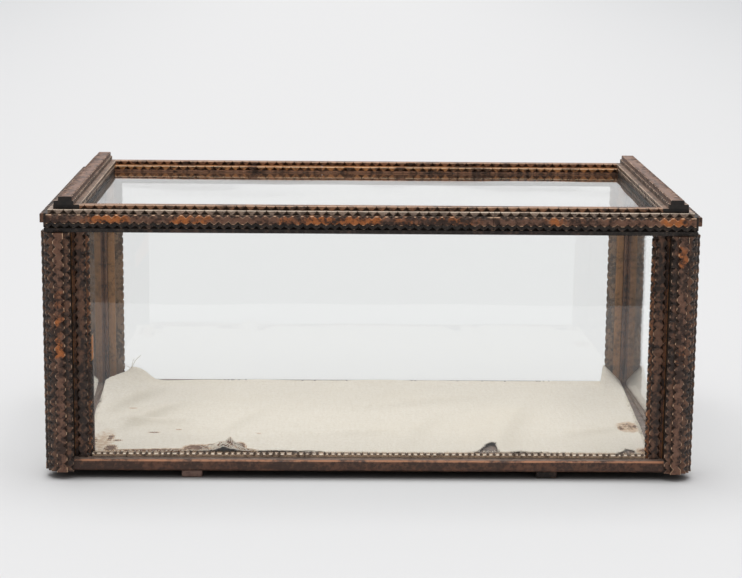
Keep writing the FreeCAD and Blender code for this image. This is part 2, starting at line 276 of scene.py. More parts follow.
@dataclass(frozen=True)
class StainedWood:
    """Thin cigar-box wood under a dark stain that has rubbed off in places.

    A face's marks say how it was made and shaded: cut is 1 on the facets of a notch, where the stain
    lies thick and painted shade darkens them too, rub is how much an edge has been handled, and there
    the worn bare colour also stands in as a painted highlight, paint is 1 on the ends painted black,
    and bright is 1 where a finish with a zone colour has worn to its brighter one.
    """

    name: str
    stain: Colour
    worn: Colour
    wear: float = 0.5
    bare_and_highlight: Colour = srgb(214, 176, 142)
    rubbed: float = 0.6
    dust: float = 0.15
    rough: float = 0.42
    pooled_and_shade: float = 0.8
    zone: Colour | None = None
    handled: float = 0.0

    def material(self, grain: Grain) -> bpy.types.Material:
        """Build the finish for one grain direction, once.

        Args:
            grain: The direction that the grain runs in.

        Returns:
            The material.
        """
        name = f"{self.name}_{grain.name.lower()}"
        found = bpy.data.materials.get(name)
        if found:
            return found
        made = bpy.data.materials.new(name)
        tree = ShaderTree(made)
        fibre = tree.noise(grain.scale(60, 1500), 4, 0.6)
        broad = tree.noise(grain.scale(9, 14), 1)
        patch = tree.noise(grain.scale(55, 95), 3, 0.6)
        spot = tree.noise((260, 260, 260), 3, 0.6)
        speck = tree.noise((900, 900, 900), 2)
        thin = broad * 0.35 + patch * 0.80 + spot * 0.95 + fibre * 0.45
        edge = 1.275 + (0.5 - self.wear) * 0.42
        # Notch facets lose the worn tone and turn darker: partly stain pooled in the cuts, partly painted
        # shade.
        cut = tree.mark("cut")
        mask = thin.step(edge - 0.13, edge + 0.13) * (1 - cut * self.pooled_and_shade)
        darker = tuple(part * 0.30 for part in self.stain)
        worn = self.worn
        if self.zone:
            dim = tree.noise(grain.scale(60, 90), 3) * 2.5 - 0.15 - tree.mark("bright")
            worn = tree.blend(dim.step(0.05, 0.60), self.worn, self.zone)
        colour = tree.blend(mask, self.stain, worn)
        pit = (fibre * 0.6 + speck * 0.6).step(0.50, 0.74) * (1 - mask * 0.5)
        colour = tree.blend((pit * 0.55).above(cut * self.pooled_and_shade * 0.85), colour, darker)
        # Handled edges wear to the bare colour, which also stands in as a painted highlight on the arrises.
        bare_and_highlight_level = 1.0 - self.handled
        rub_and_highlight_noise = tree.mark("rub") * (broad * 0.5 + patch * 0.9 + spot * 0.7)
        rub = rub_and_highlight_noise.step(bare_and_highlight_level - 0.16, bare_and_highlight_level + 0.16)
        colour = tree.blend(rub * self.rubbed, colour, self.bare_and_highlight)
        film = (spot * 0.7 + speck * 0.5).step(0.52, 0.80)
        colour = tree.blend(film * self.dust, colour, HOUSE_DUST)
        colour = tree.blend(tree.mark("paint") * 0.94, colour, BLACK_PAINT)
        roughness = (self.rough + 0.20 * spot + 0.10 * rub - 0.06 * mask).clamp()
        height = fibre * 0.65 + speck * 0.35
        values = {
            "Base Color": colour,
            "Roughness": roughness,
            "Specular IOR Level": 0.4,
            "Normal": tree.bump(height, 0.00035),
        }
        tree.surface(tree.node("ShaderNodeBsdfPrincipled", None, values).outputs[0])
        return made


@dataclass(frozen=True)
class PaneGlass:
    """Old clear window glass: it mirrors at a slant and lets the lamps through."""

    name: str = "pane_glass"
    tint: Colour = (0.988, 0.995, 0.99)
    clear: Colour = (0.985, 0.988, 0.985)

    def material(self) -> bpy.types.Material:
        """Build the glass.

        Returns:
            The material.
        """
        made = bpy.data.materials.new(self.name)
        tree = ShaderTree(made)
        smear = tree.noise((9, 9, 14), 3, 0.6).step(0.52, 0.85)
        wave = tree.noise((7, 7, 7), 1)
        glass = tree.node(
            "ShaderNodeBsdfPrincipled",
            None,
            {
                "Base Color": self.tint,
                "Roughness": smear * 0.035,
                "IOR": 1.5,
                "Transmission Weight": 1.0,
                "Normal": tree.bump(wave, 0.0004),
            },
        )
        clear = tree.node("ShaderNodeBsdfTransparent", None, {"Color": self.clear})
        path = tree.node("ShaderNodeLightPath")
        light = Signal(tree, path.outputs["Is Shadow Ray"]) + Signal(tree, path.outputs["Is Diffuse Ray"])
        values = {0: light.clamp(), 1: glass.outputs[0], 2: clear.outputs[0]}
        tree.surface(tree.node("ShaderNodeMixShader", None, values).outputs[0])
        return made


@dataclass(frozen=True)
class CoarseLinen:
    """Undyed plain weave.

    A face's soil mark says how stained it is, from 0 to 1 and more, and also carries painted shade
    along the front edge and at the bunch, and its fold shade mark how much painted shade it takes on
    the shaded side of a fold.
    """

    name: str = "coarse_linen"
    thread: float = 0.00105
    cloth: Colour = srgb(255, 248, 236)
    shade: Colour = srgb(232, 221, 203)
    cloud: Colour = srgb(240, 229, 210)
    # The colour of the painted shade on the shaded side of a fold.
    lee: Colour = srgb(206, 195, 176)
    # These two colour the stains and the painted shade that the soil mark carries.
    stain: Colour = srgb(196, 152, 104)
    deep_stain: Colour = srgb(98, 62, 38)

    def material(self) -> bpy.types.Material:
        """Build the weave in the cloth's own plane.

        Returns:
            The material.
        """
        made = bpy.data.materials.new(self.name)
        tree = ShaderTree(made)
        x, y, _ = tree.axes()
        sway = tree.noise((30, 30, 30), 1) * 0.006
        turn = 2 * math.pi / self.thread
        warp = ((x + sway) * turn).sine()
        weft = ((y + sway) * turn).sine()
        over = ((x + sway) * (turn / 2)).sine() * ((y + sway) * (turn / 2)).sine()
        weave = (warp * warp * over.above(0) + weft * weft * (0 - over).above(0)).clamp()
        slub_x = tree.noise((40, 520, 60), 2, 0.6)
        slub_y = tree.noise((520, 40, 60), 2, 0.6)
        grit = tree.noise((420, 420, 420), 3, 0.7)
        cloudy = tree.noise((14, 14, 14), 3)
        tone = weave * 0.36 + slub_x * 0.22 + slub_y * 0.22 + grit * 0.62
        colour = tree.blend(tone.step(0.34, 0.92), self.shade, self.cloth)
        colour = tree.blend(cloudy.step(0.45, 0.80) * 0.35, colour, self.cloud)
        # Painted shade on the shaded side of each fold.
        colour = tree.blend(tree.mark("lee") * 0.42, colour, self.lee)
        # Stains, and painted shade along the front edge and at the bunch, from the same mark.
        dirt = tree.mark("soil") * (tree.noise((230, 230, 230), 4, 0.8) * 4.0 - 1.05)
        colour = tree.blend(dirt.step(0.10, 0.75) * 0.72, colour, self.stain)
        colour = tree.blend(dirt.step(0.75, 1.25) * 0.90, colour, self.deep_stain)
        height = weave * 0.6 + grit * 0.4
        values = {
            "Base Color": colour,
            "Roughness": 0.92,
            "Specular IOR Level": 0.2,
            "Sheen Weight": 0.12,
            "Normal": tree.bump(height, 0.00045),
        }
        tree.surface(tree.node("ShaderNodeBsdfPrincipled", None, values).outputs[0])
        return made


@dataclass(frozen=True)
class OldMetal:
    """Hinge brass or screw steel that has gone dull."""

    name: str
    bright: Colour
    tarnish: Colour

    def material(self) -> bpy.types.Material:
        """Build the metal.

        Returns:
            The material.
        """
        made = bpy.data.materials.new(self.name)
        tree = ShaderTree(made)
        bloom = tree.noise((260, 260, 260), 4, 0.6)
        scratch = tree.noise((120, 1800, 1800), 2)
        dull = (bloom * 0.8 + scratch * 0.4).step(0.40, 0.78)
        values = {
            "Base Color": tree.blend(dull, self.bright, self.tarnish),
            "Metallic": 1 - dull * 0.35,
            "Roughness": 0.34 + dull * 0.32,
            "Normal": tree.bump(bloom * 0.7 + scratch * 0.3, 0.00008),
        }
        tree.surface(tree.node("ShaderNodeBsdfPrincipled", None, values).outputs[0])
        return made


BLACK_STAIN = StainedWood("black_stain", srgb(36, 28, 24), srgb(74, 48, 35), 0.15, rubbed=0.35)
DARK_STAIN = StainedWood(
    "dark_stain", srgb(54, 40, 33), srgb(120, 82, 60), 0.48, srgb(206, 172, 142), 0.85, handled=0.08
)
RUST_DARK = StainedWood(
    "rust_dark", srgb(60, 42, 33), srgb(138, 88, 56), 0.56, srgb(226, 160, 104), 0.9, handled=0.06
)
BROWN_STAIN = StainedWood(
    "brown_stain", srgb(70, 52, 42), srgb(152, 106, 78), 0.55, rubbed=0.8, pooled_and_shade=0.85
)
BACK_STRIP = StainedWood(
    "back_strip", srgb(104, 84, 68), srgb(162, 126, 94), 0.55, rubbed=0.5, pooled_and_shade=0.6
)
RUST_STAIN = StainedWood(
    "rust_stain", srgb(84, 62, 50), srgb(164, 116, 82), 0.60, srgb(222, 188, 158), 0.85, handled=0.12
)
ORANGE_STRIP = StainedWood(
    "orange_strip", srgb(62, 41, 30), srgb(190, 108, 46), 0.60, srgb(234, 196, 158), 0.95,
    zone=srgb(124, 86, 66), handled=0.12,
)
BACK_RAIL = StainedWood(
    "back_rail", srgb(88, 58, 38), srgb(176, 114, 62), 0.62, srgb(240, 208, 166), 0.95, handled=0.2
)
GREY_BROWN = StainedWood(
    "grey_brown", srgb(120, 102, 89), srgb(184, 158, 138), 0.62, srgb(238, 222, 200), 0.95, 0.3,
    handled=0.22,
)
CREST_WOOD = StainedWood(
    "crest_wood", srgb(84, 62, 52), srgb(138, 100, 80), 0.6, srgb(222, 192, 168), 0.85,
    pooled_and_shade=0.62, handled=0.16,
)
END_WOOD = StainedWood(
    "end_wood", srgb(90, 72, 61), srgb(148, 118, 98), 0.6, srgb(222, 198, 172), 0.85, 0.25, handled=0.10
)
PALE_BEAD = StainedWood(
    "pale_bead", srgb(104, 84, 70), srgb(180, 152, 126), 0.72, srgb(244, 230, 208), 0.95, 0.2,
    pooled_and_shade=0.7, handled=0.26,
)
BASE_WOOD = StainedWood(
    "base_wood", srgb(74, 52, 42), srgb(110, 72, 52), 0.42, srgb(192, 132, 96), 0.85, 0.1, handled=0.08
)
FLOOR_WOOD = StainedWood("floor_wood", srgb(104, 88, 80), srgb(132, 112, 100), 0.5, dust=0.5)
STOP_WOOD = StainedWood("stop_wood", srgb(134, 100, 66), srgb(172, 124, 78), 0.7, rubbed=0.2, dust=0.12)
SHADED_STOP = StainedWood("shaded_stop", srgb(62, 42, 30), srgb(112, 72, 46), 0.5, rubbed=0.25, dust=0.1)
FRESH_WOOD = StainedWood("fresh_wood", srgb(172, 98, 42), srgb(212, 132, 62), 1.2, dust=0.05)
FOOT_WOOD = StainedWood("foot_wood", srgb(104, 80, 70), srgb(140, 110, 98), 0.7, rubbed=0.3)


# ---- meshes --------------------------------------------------------------------------------
@dataclass
class MeshDraft:
    """Vertices and faces under way, with the marks that the finishes read."""

    points: list[Vector] = field(default_factory=list)
    faces: list[tuple[int, ...]] = field(default_factory=list)
    marks: dict[str, list[float]] = field(default_factory=dict)
    slots: list[int] = field(default_factory=list)

    def face(self, ring: Sequence[int], slot: int = 0, **marks: float) -> None:
        """Add a face.

        Args:
            ring: The numbers of its points, in order.
            slot: Its material slot.
            marks: Its marks; one that isn't given is 0.
        """
        for name in marks:
            self.marks.setdefault(name, [0.0] * len(self.faces))
        self.faces.append(tuple(ring))
        self.slots.append(slot)
        for name, values in self.marks.items():
            values.append(marks.get(name, 0.0))

    def build(
        self, name: str, materials: Sequence[bpy.types.Material], smooth: bool = False
    ) -> bpy.types.Object:
        """Turn the draft into an object.

        Args:
            name: The piece's name.
            materials: Its materials, in the order of the slots.
            smooth: Whether its faces are shaded smooth.

        Returns:
            The new object, in the scene.
        """
        mesh = bpy.data.meshes.new(name)
        mesh.from_pydata([tuple(point) for point in self.points], [], self.faces)
        for mark, values in self.marks.items():
            layer = mesh.attributes.new(mark, "FLOAT", "FACE")
            layer.data.foreach_set("value", values)
        for material in materials:
            mesh.materials.append(material)
        mesh.polygons.foreach_set("material_index", self.slots)
        mesh.polygons.foreach_set("use_smooth", [smooth] * len(self.faces))
        mesh.validate()
        made = bpy.data.objects.new(name, mesh)
        bpy.context.scene.collection.objects.link(made)
        return made


@dataclass(frozen=True)
class Carving:
    """How a strip's edges are notched with a knife.

    The V cut is front deep at the strip's outer face and back deep where it is glued down. It is
    as much narrower as it is shallower. A staggered strip has its two edges half a pitch apart,
    which leaves a zig-zag between them.
    """

    pitch: float = 7.1 * MM
    front: float = 2.9 * MM
    back: float = 0.9 * MM
    land: float = 0.14
    arris: float = 0.42 * MM
    jitter: float = 0.09
    staggered: bool = False
    notch_rub: float = 0.7

    @property
    def pinch(self) -> float:
        """Return how much narrower the notch is at its shallow side, as a share."""
        return 0.96 * (1 - min(self.front, self.back) / max(self.front, self.back))

    @property
    def deep_in_front(self) -> bool:
        """Return whether the notch is deeper at the outer face."""
        return self.front >= self.back


@dataclass(frozen=True)
class Strip:
    """Where one strip lies: it starts at origin and runs along run.

    low and high say how deep its two edges are notched, as shares of the carving's depth. bright
    gives the stretches that have worn brightest, as shares of the length.
    """

    origin: Vector
    run: Vector
    across: Vector
    outward: Vector
    length: float
    width: float
    thick: float
    low: float = 1.0
    high: float = 1.0
    splice: float | None = None
    painted: bool = False
    bright: Spans = ((0.08, 0.30), (0.52, 0.78))
    soft: float = 0.03

    def glow(self, place: float) -> float:
        """Find how bright the wear is.

        Args:
            place: A place along the strip, in metres.

        Returns:
            A share from 0 to 1, which changes softly at the ends of a bright stretch.
        """
        share = place / self.length
        inside = max(min(share - start, end - share) for start, end in self.bright)
        return min(max(0.5 + inside / self.soft, 0.0), 1.0)

    def point(self, along: float, across: float, out: float) -> Vector:
        """Return a point of the strip in the case's frame."""
        return self.origin + self.run * along + self.across * across + self.outward * out


@dataclass(frozen=True)
class EdgeStop:
    """A bend in a notched edge.

    place is where it is on the notch's deep side, pinched where it is on the shallow side, and
    depth is 1 at the bottom of a notch and 0 on the lands.
    """

    place: float
    pinched: float
    depth: float

    @staticmethod
    def between(stops: Sequence["EdgeStop"], place: float) -> "EdgeStop":
        """Find the edge's state at any place along it.

        Args:
            stops: The edge's bends, in order.
            place: The place along the strip.

        Returns:
            The state there, on a straight line between two bends.
        """
        for before, after in zip(stops, stops[1:]):
            if place <= after.place:
                span = after.place - before.place
                share = (place - before.place) / span if span > 0 else 0.0
                pinched = before.pinched + (after.pinched - before.pinched) * share
                return EdgeStop(place, pinched, before.depth + (after.depth - before.depth) * share)
        return stops[-1]


class StripCarver:
    """Cuts notched strips into a draft, each a little unlike the next."""

    GAP = 0.35 * MM
    NEAR = 0.06 * MM
    END_RUB = 0.3

    def __init__(self, carving: Carving, seed: int) -> None:
        """Keep the carving and start the run of chance."""
        self.carving = carving
        self.chance = random.Random(seed)

    def cut(self, draft: MeshDraft, strip: Strip, slot: int = 0) -> None:
        """Add a strip, in two lengths where it is spliced.

        Args:
            draft: The draft that takes it.
            strip: Where it lies.
            slot: Its material slot.
        """
        if strip.splice is None:
            self.length(draft, strip, 0.0, strip.length, slot)
            return
        self.length(draft, strip, 0.0, strip.splice - self.GAP / 2, slot)
        self.length(draft, strip, strip.splice + self.GAP / 2, strip.length, slot)

    def edge(self, start: float, end: float, shifted: bool) -> list[EdgeStop]:
        """Return the bends of one edge.

        Args:
            start: Where the length starts along the strip.
            end: Where it ends.
            shifted: Whether the notches stand half a pitch on.

        Returns:
            The bends, from the start to the end.
        """
        carving = self.carving
        count = max(2, round((end - start) / carving.pitch))
        pitch = (end - start) / count
        stops = [EdgeStop(start, start, 0.0)]
        for index in range(count - 1 if shifted else count):
            middle = start + (index + (1.0 if shifted else 0.5)) * pitch
            middle += self.chance.uniform(-1, 1) * carving.jitter * pitch
            for way in (-1, 0, 1):
                reach = pitch * (1 - carving.land * self.chance.uniform(0.5, 1.5)) / 2 * way
                if carving.jitter and way:
                    reach *= 1 - carving.jitter
                depth = 0.0 if way else self.chance.uniform(0.82, 1.08)
                stops.append(EdgeStop(middle + reach, middle + reach * (1 - carving.pinch), depth))
        stops.append(EdgeStop(end, end, 0.0))
        return stops

    def profile(
        self, stop: EdgeStop, part: float, strip: Strip, worn: float
    ) -> list[tuple[float, float, float]]:
        """Return an edge's three points from the glued face outwards.

        Args:
            stop: The edge's state here.
            part: How deep this edge is notched, as a share of the carving's depth.
            strip: The strip that is cut.
            worn: How far the arris is rounded off here.

        Returns:
            For each point its place along the strip, how far in from the edge it is, and its height.
        """
        carving = self.carving
        deepest = strip.width / 1.6
        front = min(carving.front * part, deepest) * stop.depth
        back = min(carving.back * part, deepest) * stop.depth
        ahead, behind = stop.place, stop.pinched
        if part == 0.0:
            behind = ahead
        elif not carving.deep_in_front:
            ahead, behind = behind, ahead
        side = back + (front - back) * (1 - worn / strip.thick)
        return [(behind, back, 0.0), (ahead, side, strip.thick - worn), (ahead, front + worn, strip.thick)]

    def length(self, draft: MeshDraft, strip: Strip, start: float, end: float, slot: int) -> None:
        """Add one unbroken length of strip.

        Args:
            draft: The draft that takes it.
            strip: Where the whole strip lies.
            start: Where this length starts along the strip.
            end: Where it ends.
            slot: Its material slot.
        """
        first = len(draft.points)
        low_stops = self.edge(start, end, False)
        high_stops = self.edge(start, end, self.carving.staggered)
        places: list[float] = []
        for place in sorted({stop.place for stop in (*low_stops, *high_stops)}):
            if not places or place - places[-1] > self.NEAR:
                places.append(place)
        rings = []
        for place in places:
            low = EdgeStop.between(low_stops, place)
            high = EdgeStop.between(high_stops, place)
            rings.append((low.depth, high.depth))
            worn = self.carving.arris * self.chance.uniform(0.6, 1.3)
            for along, inward, out in self.profile(low, strip.low, strip, worn):
                draft.points.append(strip.point(along, inward, out))
            for along, inward, out in reversed(self.profile(high, strip.high, strip, worn)):
                draft.points.append(strip.point(along, strip.width - inward, out))
        for index in range(len(places) - 1):
            here = first + index * 6
            depths = [rings[index][side] + rings[index + 1][side] for side in (0, 1)]
            low_cut = 1.0 if depths[0] * strip.low > 0 else 0.0
            high_cut = 1.0 if depths[1] * strip.high > 0 else 0.0
            bright = strip.glow((places[index] + places[index + 1]) / 2)
            spared = 1.0 - self.carving.notch_rub
            # Arrises take the rub mark, for wear and a painted highlight; notch facets take the cut mark,
            # for pooled stain and painted shade.
            marks = (
                {"cut": low_cut},
                {"rub": 1.0 - spared * low_cut},
                {},
                {"rub": 1.0 - spared * high_cut},
                {"cut": high_cut},
                {},
            )
            for corner in range(6):
                after = (corner + 1) % 6
                ring = (here + corner, here + after, here + 6 + after, here + 6 + corner)
                draft.face(ring, slot, bright=bright, **marks[corner])
        paint = 1.0 if strip.painted else 0.0
        last = first + (len(places) - 1) * 6
        draft.face([first + corner for corner in range(5, -1, -1)], slot, rub=self.END_RUB, paint=paint)
        draft.face([last + corner for corner in range(6)], slot, rub=self.END_RUB, paint=paint)


@dataclass(frozen=True)
class Plank:
    """A plain planed piece with softened, slightly uneven arrises."""

    low: Vector
    high: Vector
    grain: Grain
    arris: float = 0.7 * MM
    uneven: float = 0.25 * MM
    step: float = 6 * MM
    handled: tuple[float, float, float, float] = (0.8, 0.8, 0.8, 0.8)

    def add(self, draft: MeshDraft, slot: int = 0) -> None:
        """Add the plank as rings along its grain.

        Args:
            draft: The draft that takes it.
            slot: Its material slot.
        """
        run = self.grain.value
        first_axis, second_axis = [axis for axis in range(3) if axis != run]
        length = self.high[run] - self.low[run]
        count = max(2, round(length / self.step))
        inner = [length * i / count for i in range(1, count)]
        places = [0.0, self.arris, *inner, length - self.arris, length]
        corners = ((0, 0), (1, 0), (1, 1), (0, 1))
        first = len(draft.points)
        for index, along in enumerate(places):
            inset = self.arris * 0.7 if index in (0, len(places) - 1) else 0.0
            for number, (a, b) in enumerate(corners):
                for turn in (0, 1):
                    wander = noise.noise(Vector((along * 60, number * 7.3, self.low.x)))
                    cut = self.arris + inset + self.uneven * (0.5 + 0.5 * wander)
                    point = Vector((0, 0, 0))
                    point[run] = self.low[run] + along
                    ahead = (turn == 1) == (number % 2 == 0)
                    cuts = (cut, inset) if ahead else (inset, cut)
                    point[first_axis] = self.edge(first_axis, a, cuts[0])
                    point[second_axis] = self.edge(second_axis, b, cuts[1])
                    draft.points.append(point)
        size = 8
        for index in range(len(places) - 1):
            here = first + index * size
            for corner in range(size):
                after = (corner + 1) % size
                # The arrises take the rub mark, for wear and a painted highlight.
                rub = self.handled[corner // 2] if corner % 2 == 0 else 0.0
                ring = (here + corner, here + after, here + size + after, here + size + corner)
                draft.face(ring, slot, rub=rub)
        last = first + (len(places) - 1) * size
        draft.face([first + corner for corner in range(size - 1, -1, -1)], slot, rub=0.4)
        draft.face([last + corner for corner in range(size)], slot, rub=0.4)

    def edge(self, axis: int, far: int, cut: float) -> float:
        """Return a coordinate on one of the plank's two sides, cut back from it."""
        return self.high[axis] - cut if far else self.low[axis] + cut


# ---- the case's frame ----------------------------------------------------------------------
class Side(Enum):
    """A side of the case: the direction of u and the direction outwards."""

    FRONT = ((1, 0, 0), (0, -1, 0))
    BACK = ((-1, 0, 0), (0, 1, 0))
    LEFT = ((0, -1, 0), (-1, 0, 0))
    RIGHT = ((0, 1, 0), (1, 0, 0))

    @property
    def along(self) -> Vector:
        """Return the direction of u."""
        return Vector(self.value[0])

    @property
    def outward(self) -> Vector:
        """Return the direction of w."""
        return Vector(self.value[1])

    @property
    def is_end(self) -> bool:
        """Return whether this is the left or the right side."""
        return self in (Side.LEFT, Side.RIGHT)

    @property
    def grain(self) -> Grain:
        """Return the grain of a piece that runs along this side."""
        return Grain.ALONG_Y if self.is_end else Grain.ALONG_X

    @property
    def word(self) -> str:
        """Return the side's name as the nodes spell it."""
        return self.name.lower()


CORNERS = tuple((face, end) for face in (Side.FRONT, Side.BACK) for end in (Side.LEFT, Side.RIGHT))


class Datum:
    """Planes and levels of the case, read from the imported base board."""

    def __init__(self) -> None:
        """Read the base board."""
        self.half_x, self.half_y, self.base_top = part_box("base_board")[1]
        self.up = Vector((0, 0, 1))

    def half(self, side: Side) -> float:
        """Return half the length of a side, between the posts' outer faces."""
        return self.half_y if side.is_end else self.half_x

    def plane(self, side: Side) -> float:
        """Return the distance of a side's plane from the middle."""
        return self.half_x if side.is_end else self.half_y

    def place(self, side: Side, u: float, w: float, z: float) -> Vector:
        """Return a point given in a side's frame."""
        return side.along * u + side.outward * (self.plane(side) + w) + self.up * z

    def reach(self, side: Side, node: str) -> tuple[float, float]:
        """Return the least and the greatest w of a node on a side."""
        ends = [side.outward.dot(corner) - self.plane(side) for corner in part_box(node)]
        return min(ends), max(ends)

    def span(self, side: Side, node: str) -> float:
        """Return half the length of a centred node along a side."""
        return max(side.along.dot(corner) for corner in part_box(node))

    @staticmethod
    def end_sign(side: Side, other: Side) -> int:
        """Return which end of a side's u axis another side is at."""
        return 1 if side.along.dot(other.outward) > 0 else -1


def finish_piece(piece: bpy.types.Object, body: str, slot: str, *nodes: str) -> None:
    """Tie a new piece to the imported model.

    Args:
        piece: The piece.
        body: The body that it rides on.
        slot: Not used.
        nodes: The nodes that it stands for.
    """
    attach(piece, body)
    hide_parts(*nodes)
    log.info("%s: %d faces, rides on %s", piece.name, len(piece.data.polygons), body)


def dress_node(node: str, material: bpy.types.Material) -> None:
    """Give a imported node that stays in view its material.

    Args:
        node: The node's name.
        material: What it is dressed in.
    """
    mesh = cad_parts[node].data
    mesh.materials.clear()
    mesh.materials.append(material)
    log.info("%s: dressed in %s", node, material.name)


# ---- sub-assemblies ------------------------------------------------------------------------
@dataclass
class Carcass:
    """Base board, feet, posts and the flat rails that tie them."""

    body: str = "case"
    board_arris: float = 0.9 * MM
    board_uneven: float = 0.7 * MM
    foot_length: float = 16 * MM
    foot_depth: float = 14 * MM

    def board(self) -> None:
        """Build the base board with worn, slightly wavy edges."""
        low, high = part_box("base_board")
        draft = MeshDraft()
        handled = (0.0, 0.0, 0.9, 0.95)
        Plank(low, high, Grain.ALONG_X, self.board_arris, self.board_uneven, handled=handled).add(draft)
        for number, ring in enumerate(draft.faces):
            if min(draft.points[corner].z for corner in ring) > high.z - 0.3 * self.board_arris:
                draft.slots[number] = 1
        finishes = [BASE_WOOD.material(Grain.ALONG_X), FLOOR_WOOD.material(Grain.ALONG_X)]
        piece = draft.build("base_board_worn", finishes)
        finish_piece(piece, self.body, "frame_wood", "base_board")

    def feet(self) -> None:
        """Build the four small blocks."""
        low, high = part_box("base_feet")
        size = Vector((self.foot_length, self.foot_depth, high.z - low.z))
        draft = MeshDraft()
        for x in (low.x, high.x - size.x):
            for y in (low.y, high.y - size.y):
                corner = Vector((x, y, low.z))
                # Painted shade: the two right-hand blocks take the black stain, so they stay as dark as the
                # shade under that end of the base.
                Plank(corner, corner + size, Grain.ALONG_X).add(draft, 0 if x < 0 else 1)
        finishes = [FOOT_WOOD.material(Grain.ALONG_X), BLACK_STAIN.material(Grain.ALONG_X)]
        piece = draft.build("base_feet_blocks", finishes)
        finish_piece(piece, self.body, "frame_wood", "base_feet")

    def dress(self) -> None:
        """Dress the posts and the flat rails."""
        for face, end in CORNERS:
            dress_node(f"corner_post_{face.word}_{end.word}", BLACK_STAIN.material(Grain.ALONG_Z))
        for side in Side:
            dress_node(f"case_top_rail_{side.word}", BLACK_STAIN.material(side.grain))

    def make(self) -> None:
        """Build and dress everything."""
        self.board()
        self.feet()
        self.dress()


@dataclass
class PostFacings:
    """Two layers of notched strip on the outer faces of each post."""

    datum: Datum
    wide: float = 17.3 * MM
    narrow: float = 8.1 * MM
    thick: float = 2.7 * MM
    body: str = "case"
    carving: Carving = Carving()
    zigzag: Carving = Carving(staggered=True)
    bright: tuple[Spans, ...] = (
        ((0.48, 0.78),),
        ((0.46, 0.60), (0.86, 0.97)),
        ((0.20, 0.50),),
        ((0.40, 0.72),),
    )

    def upright(self, side: Side, end: Side, width: float, base: float, margin: float, node: str) -> Strip:
        """Return one upright strip.

        Args:
            side: The side whose face it is glued on.
            end: The side at the end of which it stands.
            width: The strip's width.
            base: The w that it is glued at.
            margin: How far its outer edge stands in from the post's edge.
            node: The node that gives its foot and top.

        Returns:
            The strip's place.
        """
        sign = self.datum.end_sign(side, end)
        low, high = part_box(node)
        outer = sign * (self.datum.half(side) - margin)
        start = min(outer, outer - sign * width)
        origin = self.datum.place(side, start, base, low.z)
        return Strip(origin, self.datum.up, side.along, side.outward, high.z - low.z, width, self.thick)

    def make(self) -> None:
        """Build both layers on all four posts."""
        margin = (self.wide - self.narrow) / 2
        for number, (face, end) in enumerate(CORNERS):
            corner = f"{face.word}_{end.word}"
            for layer, width, base, inset, finishes in (
                ("wide", self.wide, 0.0, 0.0, (DARK_STAIN, DARK_STAIN)),
                ("narrow", self.narrow, self.thick, margin, (ORANGE_STRIP, DARK_STAIN)),
            ):
                node = f"post_facing_{layer}_{corner}"
                draft = MeshDraft()
                carving = self.zigzag if layer == "narrow" else self.carving
                carver = StripCarver(carving, 100 + number * 10 + len(layer))
                for slot, (side, other) in enumerate(((face, end), (end, face))):
                    strip = self.upright(side, other, width, base, inset, node)
                    carver.cut(draft, replace(strip, bright=self.bright[number]), slot)
                dressing = [finish.material(Grain.ALONG_Z) for finish in finishes]
                piece = draft.build(f"{node}_carved", dressing)
                finish_piece(piece, self.body, "notched_strip_wood", node)


